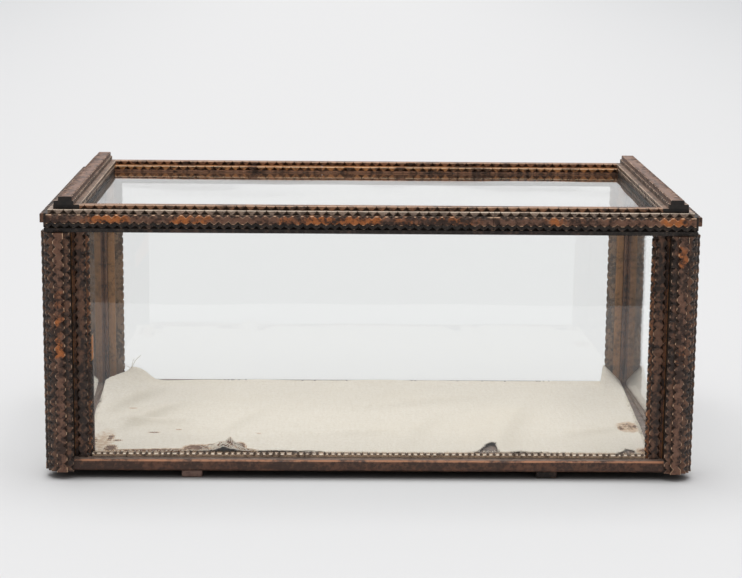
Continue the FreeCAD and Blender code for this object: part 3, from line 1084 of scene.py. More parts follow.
@dataclass
class Windows:
    """Stops, sill beads and panes of the four windows."""

    datum: Datum
    wide: float = 13.8 * MM
    narrow: float = 8.4 * MM
    thick: float = 2.7 * MM
    broken_width: float = 15.0 * MM
    broken_share: float = 0.54
    fresh: float = 17 * MM
    inner_width: float = 6.5 * MM
    jamb_notch: float = 0.8
    sill_splice: float = 141 * MM
    body: str = "case"
    carving: Carving = Carving(front=2.6 * MM, back=0.8 * MM)
    bead_carving: Carving = Carving(5.0 * MM, 2.2 * MM, 0.8 * MM, 0.34, 0.75 * MM, 0.12, notch_rub=0.0)
    bead_worn: float = 0.78

    def outer_stops(self, side: Side, number: int) -> None:
        """Build the two layers of stop at both ends of a window.

        Args:
            side: The window's side.
            number: The side's number, for the run of chance.
        """
        node = f"outer_stops_{side.word}"
        back, _ = self.datum.reach(side, node)
        jamb = self.datum.span(side, node)
        low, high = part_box(node)
        margin = (self.wide - self.narrow) / 2
        draft = MeshDraft()
        carver = StripCarver(self.carving, 300 + number)
        layers = ((self.wide, back, 0.0, 0.0), (self.narrow, back + self.thick, margin, self.jamb_notch))
        for sign in (-1, 1):
            for slot, (width, base, inset, jamb_edge) in enumerate(layers):
                outer = sign * (jamb - inset)
                start = min(outer, outer - sign * width)
                origin = self.datum.place(side, start, base, low.z)
                low_edge, high_edge = (jamb_edge, 1.0) if sign < 0 else (1.0, jamb_edge)
                strip = Strip(
                    origin, self.datum.up, side.along, side.outward, high.z - low.z, width, self.thick,
                    low_edge, high_edge,
                )
                carver.cut(draft, strip, slot)
        wood = (BACK_STRIP, BACK_STRIP) if side is Side.BACK else (RUST_DARK, DARK_STAIN)
        finishes = [finish.material(Grain.ALONG_Z) for finish in wood]
        finish_piece(draft.build(f"{node}_carved", finishes), self.body, "notched_strip_wood", node)

    def inner_stops(self, side: Side) -> None:
        """Build the plain stops behind a pane; the front left one has split off partway up.

        Args:
            side: The window's side.
        """
        node = f"inner_stops_{side.word}"
        low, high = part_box(node)
        draft = MeshDraft()
        near, far = self.datum.reach(side, node)
        jamb = self.datum.span(side, node)
        for sign in (-1, 1):
            broken = side is Side.FRONT and sign < 0
            outer = self.datum.place(side, sign * jamb, near, low.z)
            breadth = self.broken_width if broken else self.inner_width
            inner = self.datum.place(side, sign * (jamb - breadth), far, high.z)
            corners = (Vector(map(min, outer, inner)), Vector(map(max, outer, inner)))
            first_point, first_face = len(draft.points), len(draft.faces)
            Plank(*corners, Grain.ALONG_Z, 0.4 * MM, 0.2 * MM).add(draft)
            if broken:
                self.snap_off(draft.points[first_point:], corners)
                top = max(point.z for point in draft.points[first_point:]) - self.fresh
                for number in range(first_face, len(draft.faces)):
                    if max(draft.points[corner].z for corner in draft.faces[number]) > top:
                        draft.slots[number] = 1
        plain = STOP_WOOD if side is Side.BACK else SHADED_STOP
        finishes = [plain.material(Grain.ALONG_Z), FRESH_WOOD.material(Grain.ALONG_Z)]
        finish_piece(draft.build(f"{node}_plain", finishes), self.body, "plain_stop_wood", node)

    def snap_off(self, points: Iterable[Vector], corners: tuple[Vector, Vector]) -> None:
        """Shorten a stop to its broken length, along a ragged slant.

        Args:
            points: The stop's points, which are moved.
            corners: The lowest and highest corners of the whole stop.
        """
        low, high = corners
        slant = self.broken_width * 1.6
        for point in points:
            share = (point.z - low.z) / (high.z - low.z)
            across = (high.x - point.x) / (high.x - low.x)
            ragged = 0.9 * MM * noise.noise(Vector((point.x * 900, point.y * 900, 3.1)))
            top = low.z + (high.z - low.z) * self.broken_share - slant * across - abs(ragged)
            point.z = low.z + (top - low.z) * share

    def sill(self, side: Side, number: int) -> None:
        """Build the notched bead along the foot of a window.

        Args:
            side: The window's side.
            number: The side's number, for the run of chance.
        """
        node = f"sill_bead_{side.word}"
        near, far = self.datum.reach(side, node)
        low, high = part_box(node)
        half = self.datum.span(side, node)
        draft = MeshDraft()
        height = (high.z - low.z) * self.bead_worn
        origin = self.datum.place(side, -half, near, low.z + height)
        splice = half + self.sill_splice if side is Side.FRONT else None
        strip = Strip(
            origin, side.along, -self.datum.up, side.outward, 2 * half, height, far - near, 1.0, 0.0, splice
        )
        StripCarver(self.bead_carving, 400 + number).cut(draft, strip)
        piece = draft.build(f"{node}_carved", [PALE_BEAD.material(side.grain)])
        finish_piece(piece, self.body, "notched_strip_wood", node)

    def make(self, glass: bpy.types.Material) -> None:
        """Build the windows and dress their panes.

        Args:
            glass: The panes' material.
        """
        for number, side in enumerate(Side):
            self.outer_stops(side, number)
            self.inner_stops(side)
            if side is not Side.BACK:
                self.sill(side, number)
            dress_node(f"window_pane_{side.word}", glass)


@dataclass
class Lid:
    """The lid's rails and the tiers of notched strip on them."""

    datum: Datum
    thick: float = 2.7 * MM
    cap_thick: float = 3.3 * MM
    facing_wide: float = 10.8 * MM
    facing_narrow: float = 7.0 * MM
    facing_drop: float = 0.1 * MM
    crest_widths: tuple[float, float] = (15.3 * MM, 10.5 * MM)
    crest_insets: tuple[float, float] = (5.5 * MM, 9.0 * MM)
    crest_inner: tuple[float, float] = (0.6, 0.6)
    crest_outer: tuple[float, float] = (1.1, 2.2)
    hinge_room: float = 15.4 * MM
    front_splice: float = 93 * MM
    back_splice: float = 39 * MM
    body: str = "lid"
    carving: Carving = Carving()
    zigzag: Carving = Carving(staggered=True)
    facing_zigzag: Carving = Carving(front=2.3 * MM, staggered=True)
    front_bright: Spans = (
        (0.05, 0.13), (0.19, 0.25), (0.35, 0.52), (0.535, 0.665), (0.77, 0.80), (0.94, 0.99),
    )
    under_cut: Carving = Carving(7.7 * MM, 0.25 * MM, 2.6 * MM, 0.10, 0.40 * MM, 0.09)

    def facing(self, side: Side, number: int) -> None:
        """Build the wide strip on a rail's face and the zig-zag strip on top of it.

        Args:
            side: The rail's side.
            number: The side's number, for the run of chance.
        """
        node = f"lid_facing_{side.word}"
        low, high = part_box(node)
        half = self.datum.half(side)
        lift = high.z - self.facing_narrow - self.facing_drop
        draft = MeshDraft()
        carvers = (StripCarver(self.carving, 500 + number), StripCarver(self.facing_zigzag, 510 + number))
        splice = half + self.front_splice if side is Side.FRONT else None
        room = self.hinge_room if side is Side.BACK else 0.0
        layers = ((0.0, low.z, self.facing_wide, 0.0), (self.thick, lift, self.facing_narrow, 1.0))
        for slot, (base, foot, width, top) in enumerate(layers):
            origin = self.datum.place(side, -half + room, base, foot)
            length = 2 * (half - room)
            place = Strip(
                origin, side.along, self.datum.up, side.outward, length, width, self.thick, 1.0, top, splice
            )
            if side is Side.FRONT:
                place = replace(place, bright=self.front_bright)
            carvers[slot].cut(draft, place, slot)
        narrow = DARK_STAIN if side.is_end else ORANGE_STRIP
        finishes = [BLACK_STAIN.material(side.grain), narrow.material(side.grain)]
        finish_piece(draft.build(f"{node}_carved", finishes), self.body, "notched_strip_wood", node)

    def tier(
        self, side: Side, node: str, seed: int, finish: StainedWood, painted: bool, splice: float | None
    ) -> None:
        """Build one strip that lies flat along a side.

        Args:
            side: The side that it lies on.
            node: The node that it stands for.
            seed: Where its run of chance starts.
            finish: What it is stained with.
            painted: Whether its ends are painted black.
            splice: Where it is spliced, along its length, if it is.
        """
        near, far = self.datum.reach(side, node)
        half = self.datum.span(side, node)
        low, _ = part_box(node)
        draft = MeshDraft()
        origin = self.datum.place(side, -half, near, low.z)
        strip = Strip(
            origin, side.along, side.outward, self.datum.up, 2 * half, far - near, self.cap_thick,
            splice=splice, painted=painted,
        )
        StripCarver(self.under_cut, seed).cut(draft, strip)
        piece = draft.build(f"{node}_carved", [finish.material(side.grain)])
        finish_piece(piece, self.body, "notched_strip_wood", node)

    def crest(self, side: Side, number: int) -> None:
        """Build the two upper tiers on an end of the lid, their ends painted black.

        Args:
            side: The left or the right side.
            number: The side's number, for the run of chance.
        """
        node = f"lid_crest_{side.word}"
        half = self.datum.span(side, node)
        low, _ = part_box(node)
        draft = MeshDraft()
        carver = StripCarver(self.zigzag, 700 + number)
        for tier, (inset, width) in enumerate(zip(self.crest_insets, self.crest_widths)):
            origin = self.datum.place(side, -half, -inset - width, low.z + tier * self.cap_thick)
            strip = Strip(
                origin, side.along, side.outward, self.datum.up, 2 * half, width, self.cap_thick,
                self.crest_inner[tier], self.crest_outer[tier], painted=True,
            )
            carver.cut(draft, strip, tier)
        finishes = [END_WOOD.material(side.grain), CREST_WOOD.material(side.grain)]
        finish_piece(draft.build(f"{node}_carved", finishes), self.body, "notched_strip_wood", node)

    def make(self, glass: bpy.types.Material) -> None:
        """Build the lid and dress its rails and pane.

        Args:
            glass: The pane's material.
        """
        lower_finishes = {Side.FRONT: GREY_BROWN, Side.BACK: BACK_RAIL}
        for number, side in enumerate(Side):
            rail = BROWN_STAIN if side is Side.BACK else BLACK_STAIN
            dress_node(f"lid_rail_{side.word}", rail.material(side.grain))
            self.facing(side, number)
            half = self.datum.half(side)
            splice = {Side.FRONT: half + self.front_splice, Side.BACK: half + self.back_splice}.get(side)
            lower = lower_finishes.get(side, END_WOOD)
            self.tier(side, f"lid_lower_cap_{side.word}", 600 + number, lower, False, splice)
            upper = END_WOOD if side.is_end else RUST_STAIN
            self.tier(side, f"lid_upper_cap_{side.word}", 620 + number, upper, side.is_end, None)
            if side.is_end:
                self.crest(side, number)
        dress_node("lid_pane", glass)


@dataclass
class Hinges:
    """The two butt hinges at the back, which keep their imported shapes."""

    brass: OldMetal = OldMetal("hinge_brass_old", srgb(172, 140, 84), srgb(92, 72, 44))
    steel: OldMetal = OldMetal("screw_steel_old", srgb(150, 146, 140), srgb(88, 80, 72))

    def make(self) -> None:
        """Dress the leaves, pins and screws."""
        brass, steel = self.brass.material(), self.steel.material()
        for node in ("hinge_leaves_case", "hinge_leaves_lid", "hinge_pins"):
            dress_node(node, brass)
        for node in ("hinge_screws_case", "hinge_screws_lid"):
            dress_node(node, steel)


@dataclass(frozen=True)
class Tear:
    """A missing bit of the cloth: its outline on the flat sheet, in millimetres."""

    outline: tuple[tuple[float, float], ...]
    ragged: float = 0.5

    def inside(self, x: float, y: float) -> bool:
        """Test a point of the flat cloth.

        Args:
            x: The point's x in metres.
            y: Its y.

        Returns:
            Whether it lies in the tear.
        """
        x = x / MM + self.ragged * noise.noise(Vector((x * 420, y * 420, 5.0)))
        y = y / MM + self.ragged * noise.noise(Vector((x * 0.42, y * 420, 8.0)))
        found = False
        for (x0, y0), (x1, y1) in zip(self.outline, (*self.outline[1:], self.outline[0])):
            if (y0 > y) != (y1 > y) and x < x0 + (x1 - x0) * (y - y0) / (y1 - y0):
                found = not found
        return found


@dataclass(frozen=True)
class Fold:
    """A soft ridge of the cloth from one point to another, in millimetres."""

    start: tuple[float, float]
    end: tuple[float, float]
    height: float
    width: float

    def rise(self, x: float, y: float) -> float:
        """Find how much the fold lifts the cloth.

        Args:
            x: The x of a point of the flat cloth, in metres.
            y: Its y.

        Returns:
            The lift in metres.
        """
        start, end = Vector(self.start) * MM, Vector(self.end) * MM
        run = end - start
        share = (Vector((x, y)) - start).dot(run) / run.length_squared
        share = min(max(share, 0.0), 1.0)
        away = (Vector((x, y)) - start - run * share).length / (self.width * MM)
        return self.height * MM * math.exp(-away * away) * (0.35 + 0.65 * math.sin(math.pi * share))


@dataclass(frozen=True)
class Stain:
    """A darkened oval of the cloth, in millimetres, and how strong it is."""

    x: float
    y: float
    across: float
    deep: float
    strength: float

    def at(self, x: float, y: float) -> float:
        """Return how much the oval darkens a point of the flat cloth."""
        away = math.hypot((x / MM - self.x) / self.across, (y / MM - self.y) / self.deep)
        return self.strength * max(0.0, 1.0 - away * away)


@dataclass
class ClothLining:
    """The loose linen sheet on the floor, turned up at the back corners and torn in front."""

    datum: Datum
    cell: float = 1.6 * MM
    lift: float = 0.9 * MM
    thick: float = 0.8 * MM
    thread_radius: float = 0.22 * MM
    front_threads: int = 330
    end_threads: int = 150
    tear_threads: int = 2
    bunch_threads: int = 110
    worn_threads: int = 60
    left_rise: float = 12.5 * MM
    right_rise: float = 15.5 * MM
    flap: float = 14.5 * MM
    body: str = "case"
    tears: tuple[Tear, ...] = (
        Tear((
            (76, -125), (84, -112), (89, -103), (93.5, -92.5),
            (98, -87), (101.5, -89), (102.6, -104), (104, -125),
        )),
        Tear(((107, -125), (112, -111), (117.3, -107.5), (123, -109.5), (128.5, -125))),
        Tear(((191, -125), (198.5, -109), (206.8, -98.5), (213, -101), (218, -125))),
        Tear(((-89, -125), (-88, -110.8), (-44, -108.6), (-35, -111.5), (-22, -125)), 0.2),
        Tear(((-144, -125), (-142, -112), (-137, -114.8), (-133, -110.5), (-129, -115), (-127, -125)), 1.0),
    )
    folds: tuple[Fold, ...] = (
        Fold((-226, 8), (-190, 88), 4.6, 9),
        Fold((-210, -48), (-168, 34), 4.2, 8),
        Fold((-230, -34), (-158, -20), 2.8, 7),
        Fold((-66, -62), (28, -48), 2.0, 8),
        Fold((98, -98), (128, 36), 3.4, 12),
        Fold((-24, 26), (96, 66), 2.0, 11),
        Fold((150, -60), (222, -30), 2.2, 8),
        Fold((-130, -70), (-96, 20), 1.8, 10),
        Fold((20, -90), (52, 8), 1.6, 11),
    )
    stains: tuple[Stain, ...] = (
        Stain(-214, -84, 12, 42, 0.62),
        Stain(-209, -74, 3.5, 13, 1.5),
        Stain(-203, -82, 5.0, 3.5, 1.3),
        Stain(-221, -92, 4.0, 26, 1.2),
        Stain(-206, -103, 6.5, 12, 1.9),
        Stain(-172, -112, 44, 9.0, 2.0),
        Stain(-137, -104, 14, 12, 1.9),
        Stain(-126, -98, 6, 5, 1.6),
        # The next four darken the bunch's right flank and the cloth at its foot: partly soil, partly
        # painted shade.
        Stain(-103.0, -104, 6.0, 18, 2.4),
        Stain(-112, -107, 9.0, 6, 1.6),
        Stain(-116, -113, 24, 8, 1.5),
        Stain(-97, -112, 10, 8, 1.7),
        Stain(-175, -60, 6.0, 1.9, 1.6),
        Stain(-200, 17, 5.0, 2.0, 0.9),
        Stain(-156, -52, 4.0, 1.8, 0.9),
        Stain(-89.5, -63, 3.0, 1.8, 1.0),
        Stain(219, -36, 14, 20, 1.0),
        Stain(211, -42, 4.0, 6, 1.6),
        Stain(218, -29, 3.0, 5, 1.5),
        Stain(224, -36, 4.0, 8, 1.5),
        Stain(222, -106, 10, 12, 1.0),
    )
    bunch: tuple[float, float] = (-0.1130, -0.1045)
    bunch_size: tuple[float, float] = (8.5 * MM, 10.5 * MM)
    bunch_rise: float = 9.5 * MM
    corner_spread: tuple[float, float] = (50 * MM, 98 * MM)
    curl_spread: tuple[float, float] = (45 * MM, 34 * MM)
    curl: float = 20 * MM
    pull: float = 2.5 * MM
    skew: float = 0.035
    front_lift: float = 1.2 * MM
    back_lift: float = 1.7 * MM
    # These two set the painted shade on the shaded side of the folds.
    lee_step: tuple[float, float] = (5.0 * MM, 3.0 * MM)
    lee_full: float = 2.2 * MM
    front_reach: float = 4.2 * MM
    back_reach: float = 3.5 * MM

    def __post_init__(self) -> None:
        """Read where the cloth lies."""
        self.low, self.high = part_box("cloth_lining")

    def flat_point(self, a: float, b: float) -> tuple[float, float]:
        """Find a point of the flat cloth.

        Args:
            a: Its share of the cloth's width, from the left.
            b: Its share of the cloth's depth, from the front.

        Returns:
            Its x and y in metres.
        """
        x = self.low.x + a * (self.high.x - self.low.x)
        y = self.low.y + b * (self.high.y - self.low.y)
        return x, y

    def laid(self, x: float, y: float) -> Vector:
        """Find where a point of the flat cloth comes to lie.

        Args:
            x: The point's x in metres.
            y: Its y.

        Returns:
            Its place in the case.
        """
        to_left, to_right = x - self.low.x, self.high.x - x
        to_back, to_front = self.high.y - y, y - self.low.y
        spread_x, spread_y = self.curl_spread
        curled = self.fade(to_left, spread_x) * self.fade(to_back, spread_y)
        new_x = x + self.curl * curled
        new_x -= self.pull * self.fade(to_left, 30 * MM) * self.fade(40 * MM - y, 120 * MM)
        new_x += self.skew * (y - 10 * MM) * self.fade(to_right, 30 * MM)
        new_y = y - self.pull * curled - self.front_reach * self.fade(to_front, 60 * MM)
        new_y += self.back_reach * self.fade(to_back, 60 * MM)
        return Vector((new_x, new_y, self.height(x, y)))

    def height(self, x: float, y: float) -> float:
        """Find how high a point of the flat cloth comes to lie.

        Args:
            x: The point's x in metres.
            y: Its y.

        Returns:
            Its height: swells, folds, raised corners, lifted edges and the bunch in front.
        """
        z = self.datum.base_top + self.lift
        swell = noise.noise(Vector((x * 9, y * 13, 0.4)))
        ripple = noise.noise(Vector((x * 38, y * 52, 2.2)))
        z += 1.1 * MM * max(0.0, swell + 0.25) + 0.35 * MM * (ripple + 0.6)
        z += sum(fold.rise(x, y) for fold in self.folds)
        to_left, to_right = x - self.low.x, self.high.x - x
        to_back, to_front = self.high.y - y, y - self.low.y
        left = self.fade(to_left, self.corner_spread[0]) * self.fade(to_back, self.corner_spread[1])
        flap = min(max(to_right / self.flap, 0.0), 1.0) if to_right < self.flap else 0.0
        right = flap * self.fade(to_back, self.curl_spread[1])
        z += self.left_rise * left ** 1.15 + self.right_rise * right
        front = 0.5 + 0.5 * noise.noise(Vector((x * 22, 0.3, 1.0)))
        back = 0.75 + 0.6 * noise.noise(Vector((x * 14, 0.9, 3.0)))
        z += self.front_lift * self.fade(to_front, 10 * MM) * front
        z += self.back_lift * self.fade(to_back, 12 * MM) * back
        across = (x - self.bunch[0]) / self.bunch_size[0]
        deep = (y - self.bunch[1]) / self.bunch_size[1]
        gathered = math.exp(-across * across - deep * deep)
        crumple = 0.8 + 0.5 * noise.noise(Vector((x * 240, y * 120, 6.0)))
        return z + self.bunch_rise * gathered * crumple

    @staticmethod
    def fade(distance: float, reach: float) -> float:
        """Fall smoothly from 1 at an edge to 0 at a reach from it."""
        share = min(max(1 - distance / reach, 0.0), 1.0)
        return share * share * (3 - 2 * share)

    def frayed(self, x: float, y: float) -> bool:
        """Test whether the cloth is missing at a point.

        Args:
            x: The x of a point of the flat cloth, in metres.
            y: Its y.

        Returns:
            Whether it is outside the uneven outline or in a tear.
        """
        wander = 0.9 * MM * (0.5 + noise.noise(Vector((x * 55, y * 55, 9.0))))
        wander += 0.7 * MM * noise.noise(Vector((x * 400, y * 400, 4.0)))
        if x > 200 * MM and abs(y + 38 * MM) < 20 * MM:
            wander += 2.2 * MM * (0.5 + noise.noise(Vector((x * 300, y * 700, 2.0))))
        edges = (x - self.low.x, self.high.x - x, y - self.low.y, self.high.y - y)
        return min(edges) < max(wander, 0.0) or any(tear.inside(x, y) for tear in self.tears)

    def soil(self, x: float, y: float) -> float:
        """Find how dirty the cloth is, with painted shade along its front edge and at the bunch.

        Args:
            x: The x of a point of the flat cloth, in metres.
            y: Its y.

        Returns:
            How soiled and shaded it is, from 0 to 1 and more.
        """
        to_front = y - self.low.y
        # The front edge darkens where it meets the bead, most on the left: partly soil, partly painted
        # shade.
        front = max(0.0, 1 - to_front / (10 * MM)) * (0.9 if x < -90 * MM else 0.4)
        return max(front, *(stain.at(x, y) for stain in self.stains))

    def lee(self, x: float, y: float) -> float:
        """Find how much painted shade the cloth takes on the shaded side of a fold.

        Args:
            x: The x of a point of the flat cloth, in metres.
            y: Its y.

        Returns:
            A share from 0 to 1.
        """
        before_x, before_y = self.lee_step
        drop = sum(fold.rise(x - before_x, y + before_y) - fold.rise(x, y) for fold in self.folds)
        return min(max(drop / self.lee_full, 0.0), 1.0)

    def sheet(self) -> bpy.types.Object:
        """Build the sheet as a fine grid with its outline and tears cut out.

        Returns:
            The sheet.
        """
        width, depth = self.high.x - self.low.x, self.high.y - self.low.y
        columns, rows = round(width / self.cell), round(depth / self.cell)
        kept: dict[tuple[int, int], int] = {}
        draft = MeshDraft()

        def corner(i: int, j: int) -> int:
            """Lay a grid point the first time that it is asked for.

            Args:
                i: Its column.
                j: Its row.

            Returns:
                The point's number in the draft.
            """
            if (i, j) not in kept:
                kept[(i, j)] = len(draft.points)
                draft.points.append(self.laid(*self.flat_point(i / columns, j / rows)))
            return kept[(i, j)]

        for i in range(columns):
            for j in range(rows):
                x, y = self.flat_point((i + 0.5) / columns, (j + 0.5) / rows)
                if self.frayed(x, y):
                    continue
                ring = (corner(i, j), corner(i + 1, j), corner(i + 1, j + 1), corner(i, j + 1))
                draft.face(ring, 0, soil=self.soil(x, y), lee=self.lee(x, y))
        piece = draft.build("linen_sheet", [self.linen], smooth=True)
        shell = piece.modifiers.new("thickness", "SOLIDIFY")
        shell.thickness = self.thick
        shell.offset = 0.0
        return piece

    def fringe(self) -> bpy.types.Object:
        """Build the loose threads along the outline, at the tears and on the left corner.

        Returns:
            The threads as one piece.
        """
        chance = random.Random(77)
        curve = bpy.data.curves.new("linen_threads", "CURVE")
        curve.dimensions = "3D"
        curve.bevel_depth = self.thread_radius
        curve.bevel_resolution = 1
        self.edge_threads(curve, chance)
        self.worn_edges(curve, chance)
        self.stray(curve)
        source = bpy.data.objects.new("linen_threads_path", curve)
        bpy.context.scene.collection.objects.link(source)
        bpy.context.view_layer.update()
        mesh = bpy.data.meshes.new_from_object(source.evaluated_get(bpy.context.evaluated_depsgraph_get()))
        bpy.data.objects.remove(source)
        mesh.materials.clear()
        mesh.materials.append(self.linen)
        piece = bpy.data.objects.new("linen_threads", mesh)
        bpy.context.scene.collection.objects.link(piece)
        return piece

    def edge_threads(self, curve: bpy.types.Curve, chance: random.Random) -> None:
        """Add the threads that stand off the front edge and the two ends.

        Args:
            curve: The curve that holds all threads.
            chance: The run of chance.
        """
        for _ in range(self.front_threads):
            x = chance.uniform(self.low.x + 0.004, self.high.x - 0.004)
            inward = chance.uniform(0.001, 0.004)
            self.thread(curve, chance, x, self.low.y + inward, -math.pi / 2, 0.0028)
        for _ in range(self.end_threads):
            y = chance.uniform(self.low.y + 0.004, self.high.y - 0.05)
            self.thread(curve, chance, self.high.x - chance.uniform(0.001, 0.004), y, 0.0, 0.0030)
            self.thread(curve, chance, self.low.x + chance.uniform(0.001, 0.004), y, math.pi, 0.0026)

    def worn_edges(self, curve: bpy.types.Curve, chance: random.Random) -> None:
        """Add the threads at the tears, on the bunch in front and at the frayed right end.

        Args:
            curve: The curve that holds all threads.
            chance: The run of chance.
        """
        for tear in self.tears:
            for (x0, y0), (x1, y1) in zip(tear.outline, tear.outline[1:]):
                for _ in range(self.tear_threads):
                    share = chance.random()
                    x, y = (x0 + (x1 - x0) * share) * MM, (y0 + (y1 - y0) * share) * MM
                    self.thread(curve, chance, x, y, chance.uniform(0, 2 * math.pi), 0.0022)
        for _ in range(self.bunch_threads):
            x = chance.gauss(self.bunch[0], 0.0075)
            y = chance.gauss(self.bunch[1] - 0.003, 0.006)
            self.thread(curve, chance, x, y, chance.uniform(0, 2 * math.pi), 0.0085)
        for _ in range(self.worn_threads):
            y = chance.gauss(-0.036, 0.009)
            self.thread(curve, chance, self.high.x - chance.uniform(0, 0.005), y, 0.0, 0.0070)

    def thread(
        self, curve: bpy.types.Curve, chance: random.Random, x: float, y: float, turn: float, length: float
    ) -> None:
        """Add one short thread that lies on the cloth and curls off its edge.

        Args:
            curve: The curve that holds all threads.
            chance: The run of chance.
            x: The x of its root on the flat cloth.
            y: Its y.
            turn: The direction that it points in, as an angle from x.
            length: Its length in metres, before chance.
        """
        length *= chance.uniform(0.4, 1.3)
        turn += chance.uniform(-0.5, 0.5)
        lift = chance.uniform(0.4, 1.1) * MM
        curl = chance.uniform(-0.9, 0.9)
        points = []
        for step in range(4):
            share = step / 3
            bend = turn + curl * share
            px = x + math.cos(bend) * length * share
            py = y + math.sin(bend) * length * share
            px = min(max(px, self.low.x), self.high.x)
            py = min(max(py, self.low.y), self.high.y)
            place = self.laid(px, py)
            points.append(place + Vector((0, 0, lift * math.sin(share * math.pi * 0.8))))
        self.spline(curve, points)

    def stray(self, curve: bpy.types.Curve) -> None:
        """Add the long threads that stand off the left back corner.

        Args:
            curve: The curve that holds all threads.
        """
        corner = self.laid(self.low.x + 0.001, self.high.y - 0.004)
        for reach, rise in ((0.009, 0.013), (0.003, 0.010), (-0.007, 0.004)):
            middle = corner + Vector((reach * 0.4, -0.002, rise * 0.7))
            end = corner + Vector((reach, -0.003, rise))
            self.spline(curve, [corner, middle, end])

    @staticmethod
    def spline(curve: bpy.types.Curve, points: Sequence[Vector]) -> None:
        """Add a smooth thread along a few points.

        Args:
            curve: The curve that holds all threads.
            points: The thread's control points.
        """
        line = curve.splines.new("NURBS")
        line.points.add(len(points) - 1)
        for place, point in zip(line.points, points):
            place.co = (*point, 1.0)
        line.order_u = 3
        line.use_endpoint_u = True

    def make(self) -> None:
        """Build the sheet and its threads."""
        self.linen = CoarseLinen().material()
        sheet = self.sheet()
        threads = self.fringe()
        finish_piece(sheet, self.body, "cloth", "cloth_lining")
        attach(threads, self.body)


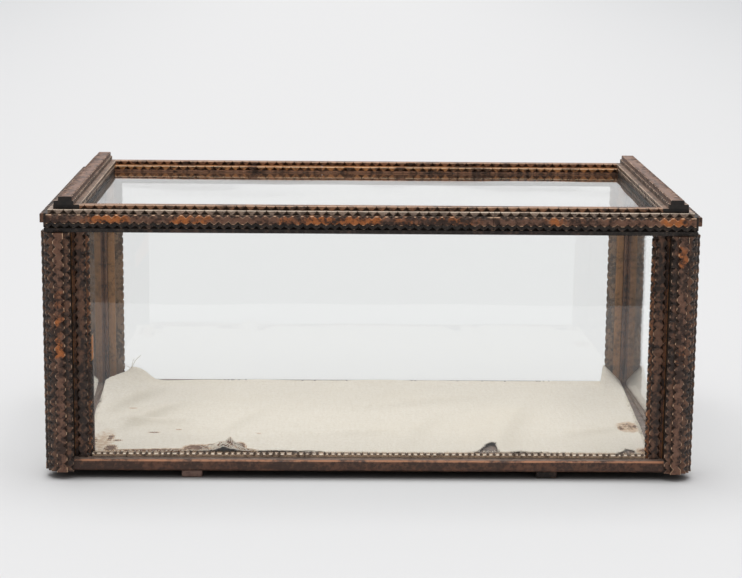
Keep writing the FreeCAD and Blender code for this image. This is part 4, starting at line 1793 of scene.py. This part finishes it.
@dataclass
class Studio:
    """Pale floor, soft light and the camera."""

    lens: float = 97.33
    camera_place: Vector = field(default_factory=lambda: Vector((-0.0293, -1.6522, 0.4499)))
    yaw: float = math.radians(-1.097)
    pitch: float = math.radians(11.10)
    roll: float = math.radians(0.542)
    floor_front: float = -0.80
    floor_back: float = 16.0
    floor_side: float = 9.0
    pale: Colour = srgb(223, 223, 223)
    far_shaded_pale: Colour = srgb(204, 205, 206)
    shade: Colour = srgb(74, 68, 66)
    sky: Colour = (0.84, 0.84, 0.84)
    room: Colour = (0.30, 0.30, 0.30)
    dome_low: Colour = (0.27, 0.27, 0.273)
    dome_high: Colour = (0.82, 0.82, 0.83)
    lamp_spread: float = math.radians(50)
    lamp_power: float = 1.65
    shade_strength: float = 0.8

    def floor(self) -> None:
        """Build the floor, with painted shadow in the narrow gap under the case."""
        draft = MeshDraft()
        front, back, side = self.floor_front, self.floor_back, self.floor_side
        outline = ((-side, front, 0), (side, front, 0), (side, back, 0), (-side, back, 0))
        draft.points += [Vector(point) for point in outline]
        draft.face((0, 1, 2, 3))
        made = bpy.data.materials.new("pale_floor")
        tree = ShaderTree(made)
        across, deep, _ = tree.axes()
        # Painted shade: the floor turns darker towards its sides, away from the middle.
        away = across.maths("ABSOLUTE", across).step(0.2, 2.2)
        colour = tree.blend(away, self.pale, self.far_shaded_pale)
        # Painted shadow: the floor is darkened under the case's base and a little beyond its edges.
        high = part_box("base_board")[1]
        beside = 1 - across.maths("ABSOLUTE", across).step(high.x - 0.004, high.x + 0.010)
        ahead = 1 - deep.maths("ABSOLUTE", deep).step(high.y - 0.012, high.y + 0.014)
        colour = tree.blend(beside * ahead * self.shade_strength, colour, self.shade)
        values = {"Base Color": colour, "Roughness": 0.9, "Specular IOR Level": 0.1}
        tree.surface(tree.node("ShaderNodeBsdfPrincipled", None, values).outputs[0])
        draft.build("floor", [made])

    def world(self) -> None:
        """Light everything evenly; what mirrors sees a darker room in front of the case."""
        world = bpy.data.worlds.new("studio")
        bpy.context.scene.world = world
        tree = ShaderTree(world)
        direction = tree.node("ShaderNodeTexCoord").outputs["Generated"]
        parts = tree.node("ShaderNodeSeparateXYZ", None, {0: direction})
        ahead = Signal(tree, parts.outputs[1])
        up = Signal(tree, parts.outputs[2])
        room = (0 - ahead).step(0.15, 0.6) * (1 - up.step(0.35, 0.75))
        path = tree.node("ShaderNodeLightPath")
        mirrored = Signal(tree, path.outputs["Is Glossy Ray"])
        seen = Signal(tree, path.outputs["Is Camera Ray"])
        seen = seen + Signal(tree, path.outputs["Is Transmission Ray"])
        pale = tree.blend(room * mirrored, self.sky, self.room)
        dome = tree.blend(up.clamp(), self.dome_low, self.dome_high)
        colour = tree.blend((seen + mirrored).clamp(), dome, pale)
        shader = tree.node("ShaderNodeBackground", None, {"Color": colour, "Strength": 1.0})
        tree.node("ShaderNodeOutputWorld", None, {"Surface": shader.outputs[0]})

    def lamp(self, name: str, toward: Sequence[float], spread: float, power: float) -> None:
        """Add one very soft lamp that shines the same everywhere.

        Args:
            name: Its name.
            toward: The direction that it shines in.
            spread: How wide it looks, as an angle.
            power: Its strength.
        """
        data = bpy.data.lights.new(name, "SUN")
        data.angle = spread
        data.energy = power
        lamp = bpy.data.objects.new(name, data)
        bpy.context.scene.collection.objects.link(lamp)
        lamp.rotation_euler = Vector(toward).to_track_quat("-Z", "Y").to_euler()

    def camera(self) -> None:
        """Stand the camera in front of the case, a little above it."""
        cos, sin = math.cos(self.yaw), math.sin(self.yaw)
        ahead = Vector((-sin * math.cos(self.pitch), cos * math.cos(self.pitch), -math.sin(self.pitch)))
        level = Vector((cos, sin, 0))
        above = level.cross(ahead)
        right = level * math.cos(self.roll) + above * math.sin(self.roll)
        top = above * math.cos(self.roll) - level * math.sin(self.roll)
        data = bpy.data.cameras.new("camera")
        data.lens = self.lens
        data.sensor_width = 36.0
        data.clip_end = 60.0
        made = bpy.data.objects.new("camera", data)
        bpy.context.scene.collection.objects.link(made)
        turn = Matrix((right, top, -ahead)).transposed()
        made.matrix_world = Matrix.Translation(self.camera_place) @ turn.to_4x4()
        bpy.context.scene.camera = made

    def make(self) -> None:
        """Build the stage and set the view transform."""
        self.floor()
        self.world()
        self.lamp("overhead", (0.06, -0.10, -1.0), self.lamp_spread, self.lamp_power)
        self.camera()
        bpy.context.scene.view_settings.view_transform = "Standard"


def main() -> None:
    """Build every sub-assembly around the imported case."""
    logging.basicConfig(level=logging.INFO, format="%(name)s: %(message)s")
    datum = Datum()
    glass = PaneGlass().material()
    Carcass().make()
    PostFacings(datum).make()
    Windows(datum).make(glass)
    Lid(datum).make(glass)
    Hinges().make()
    ClothLining(datum).make()
    Studio().make()


if __name__ == "__main__":
    main()
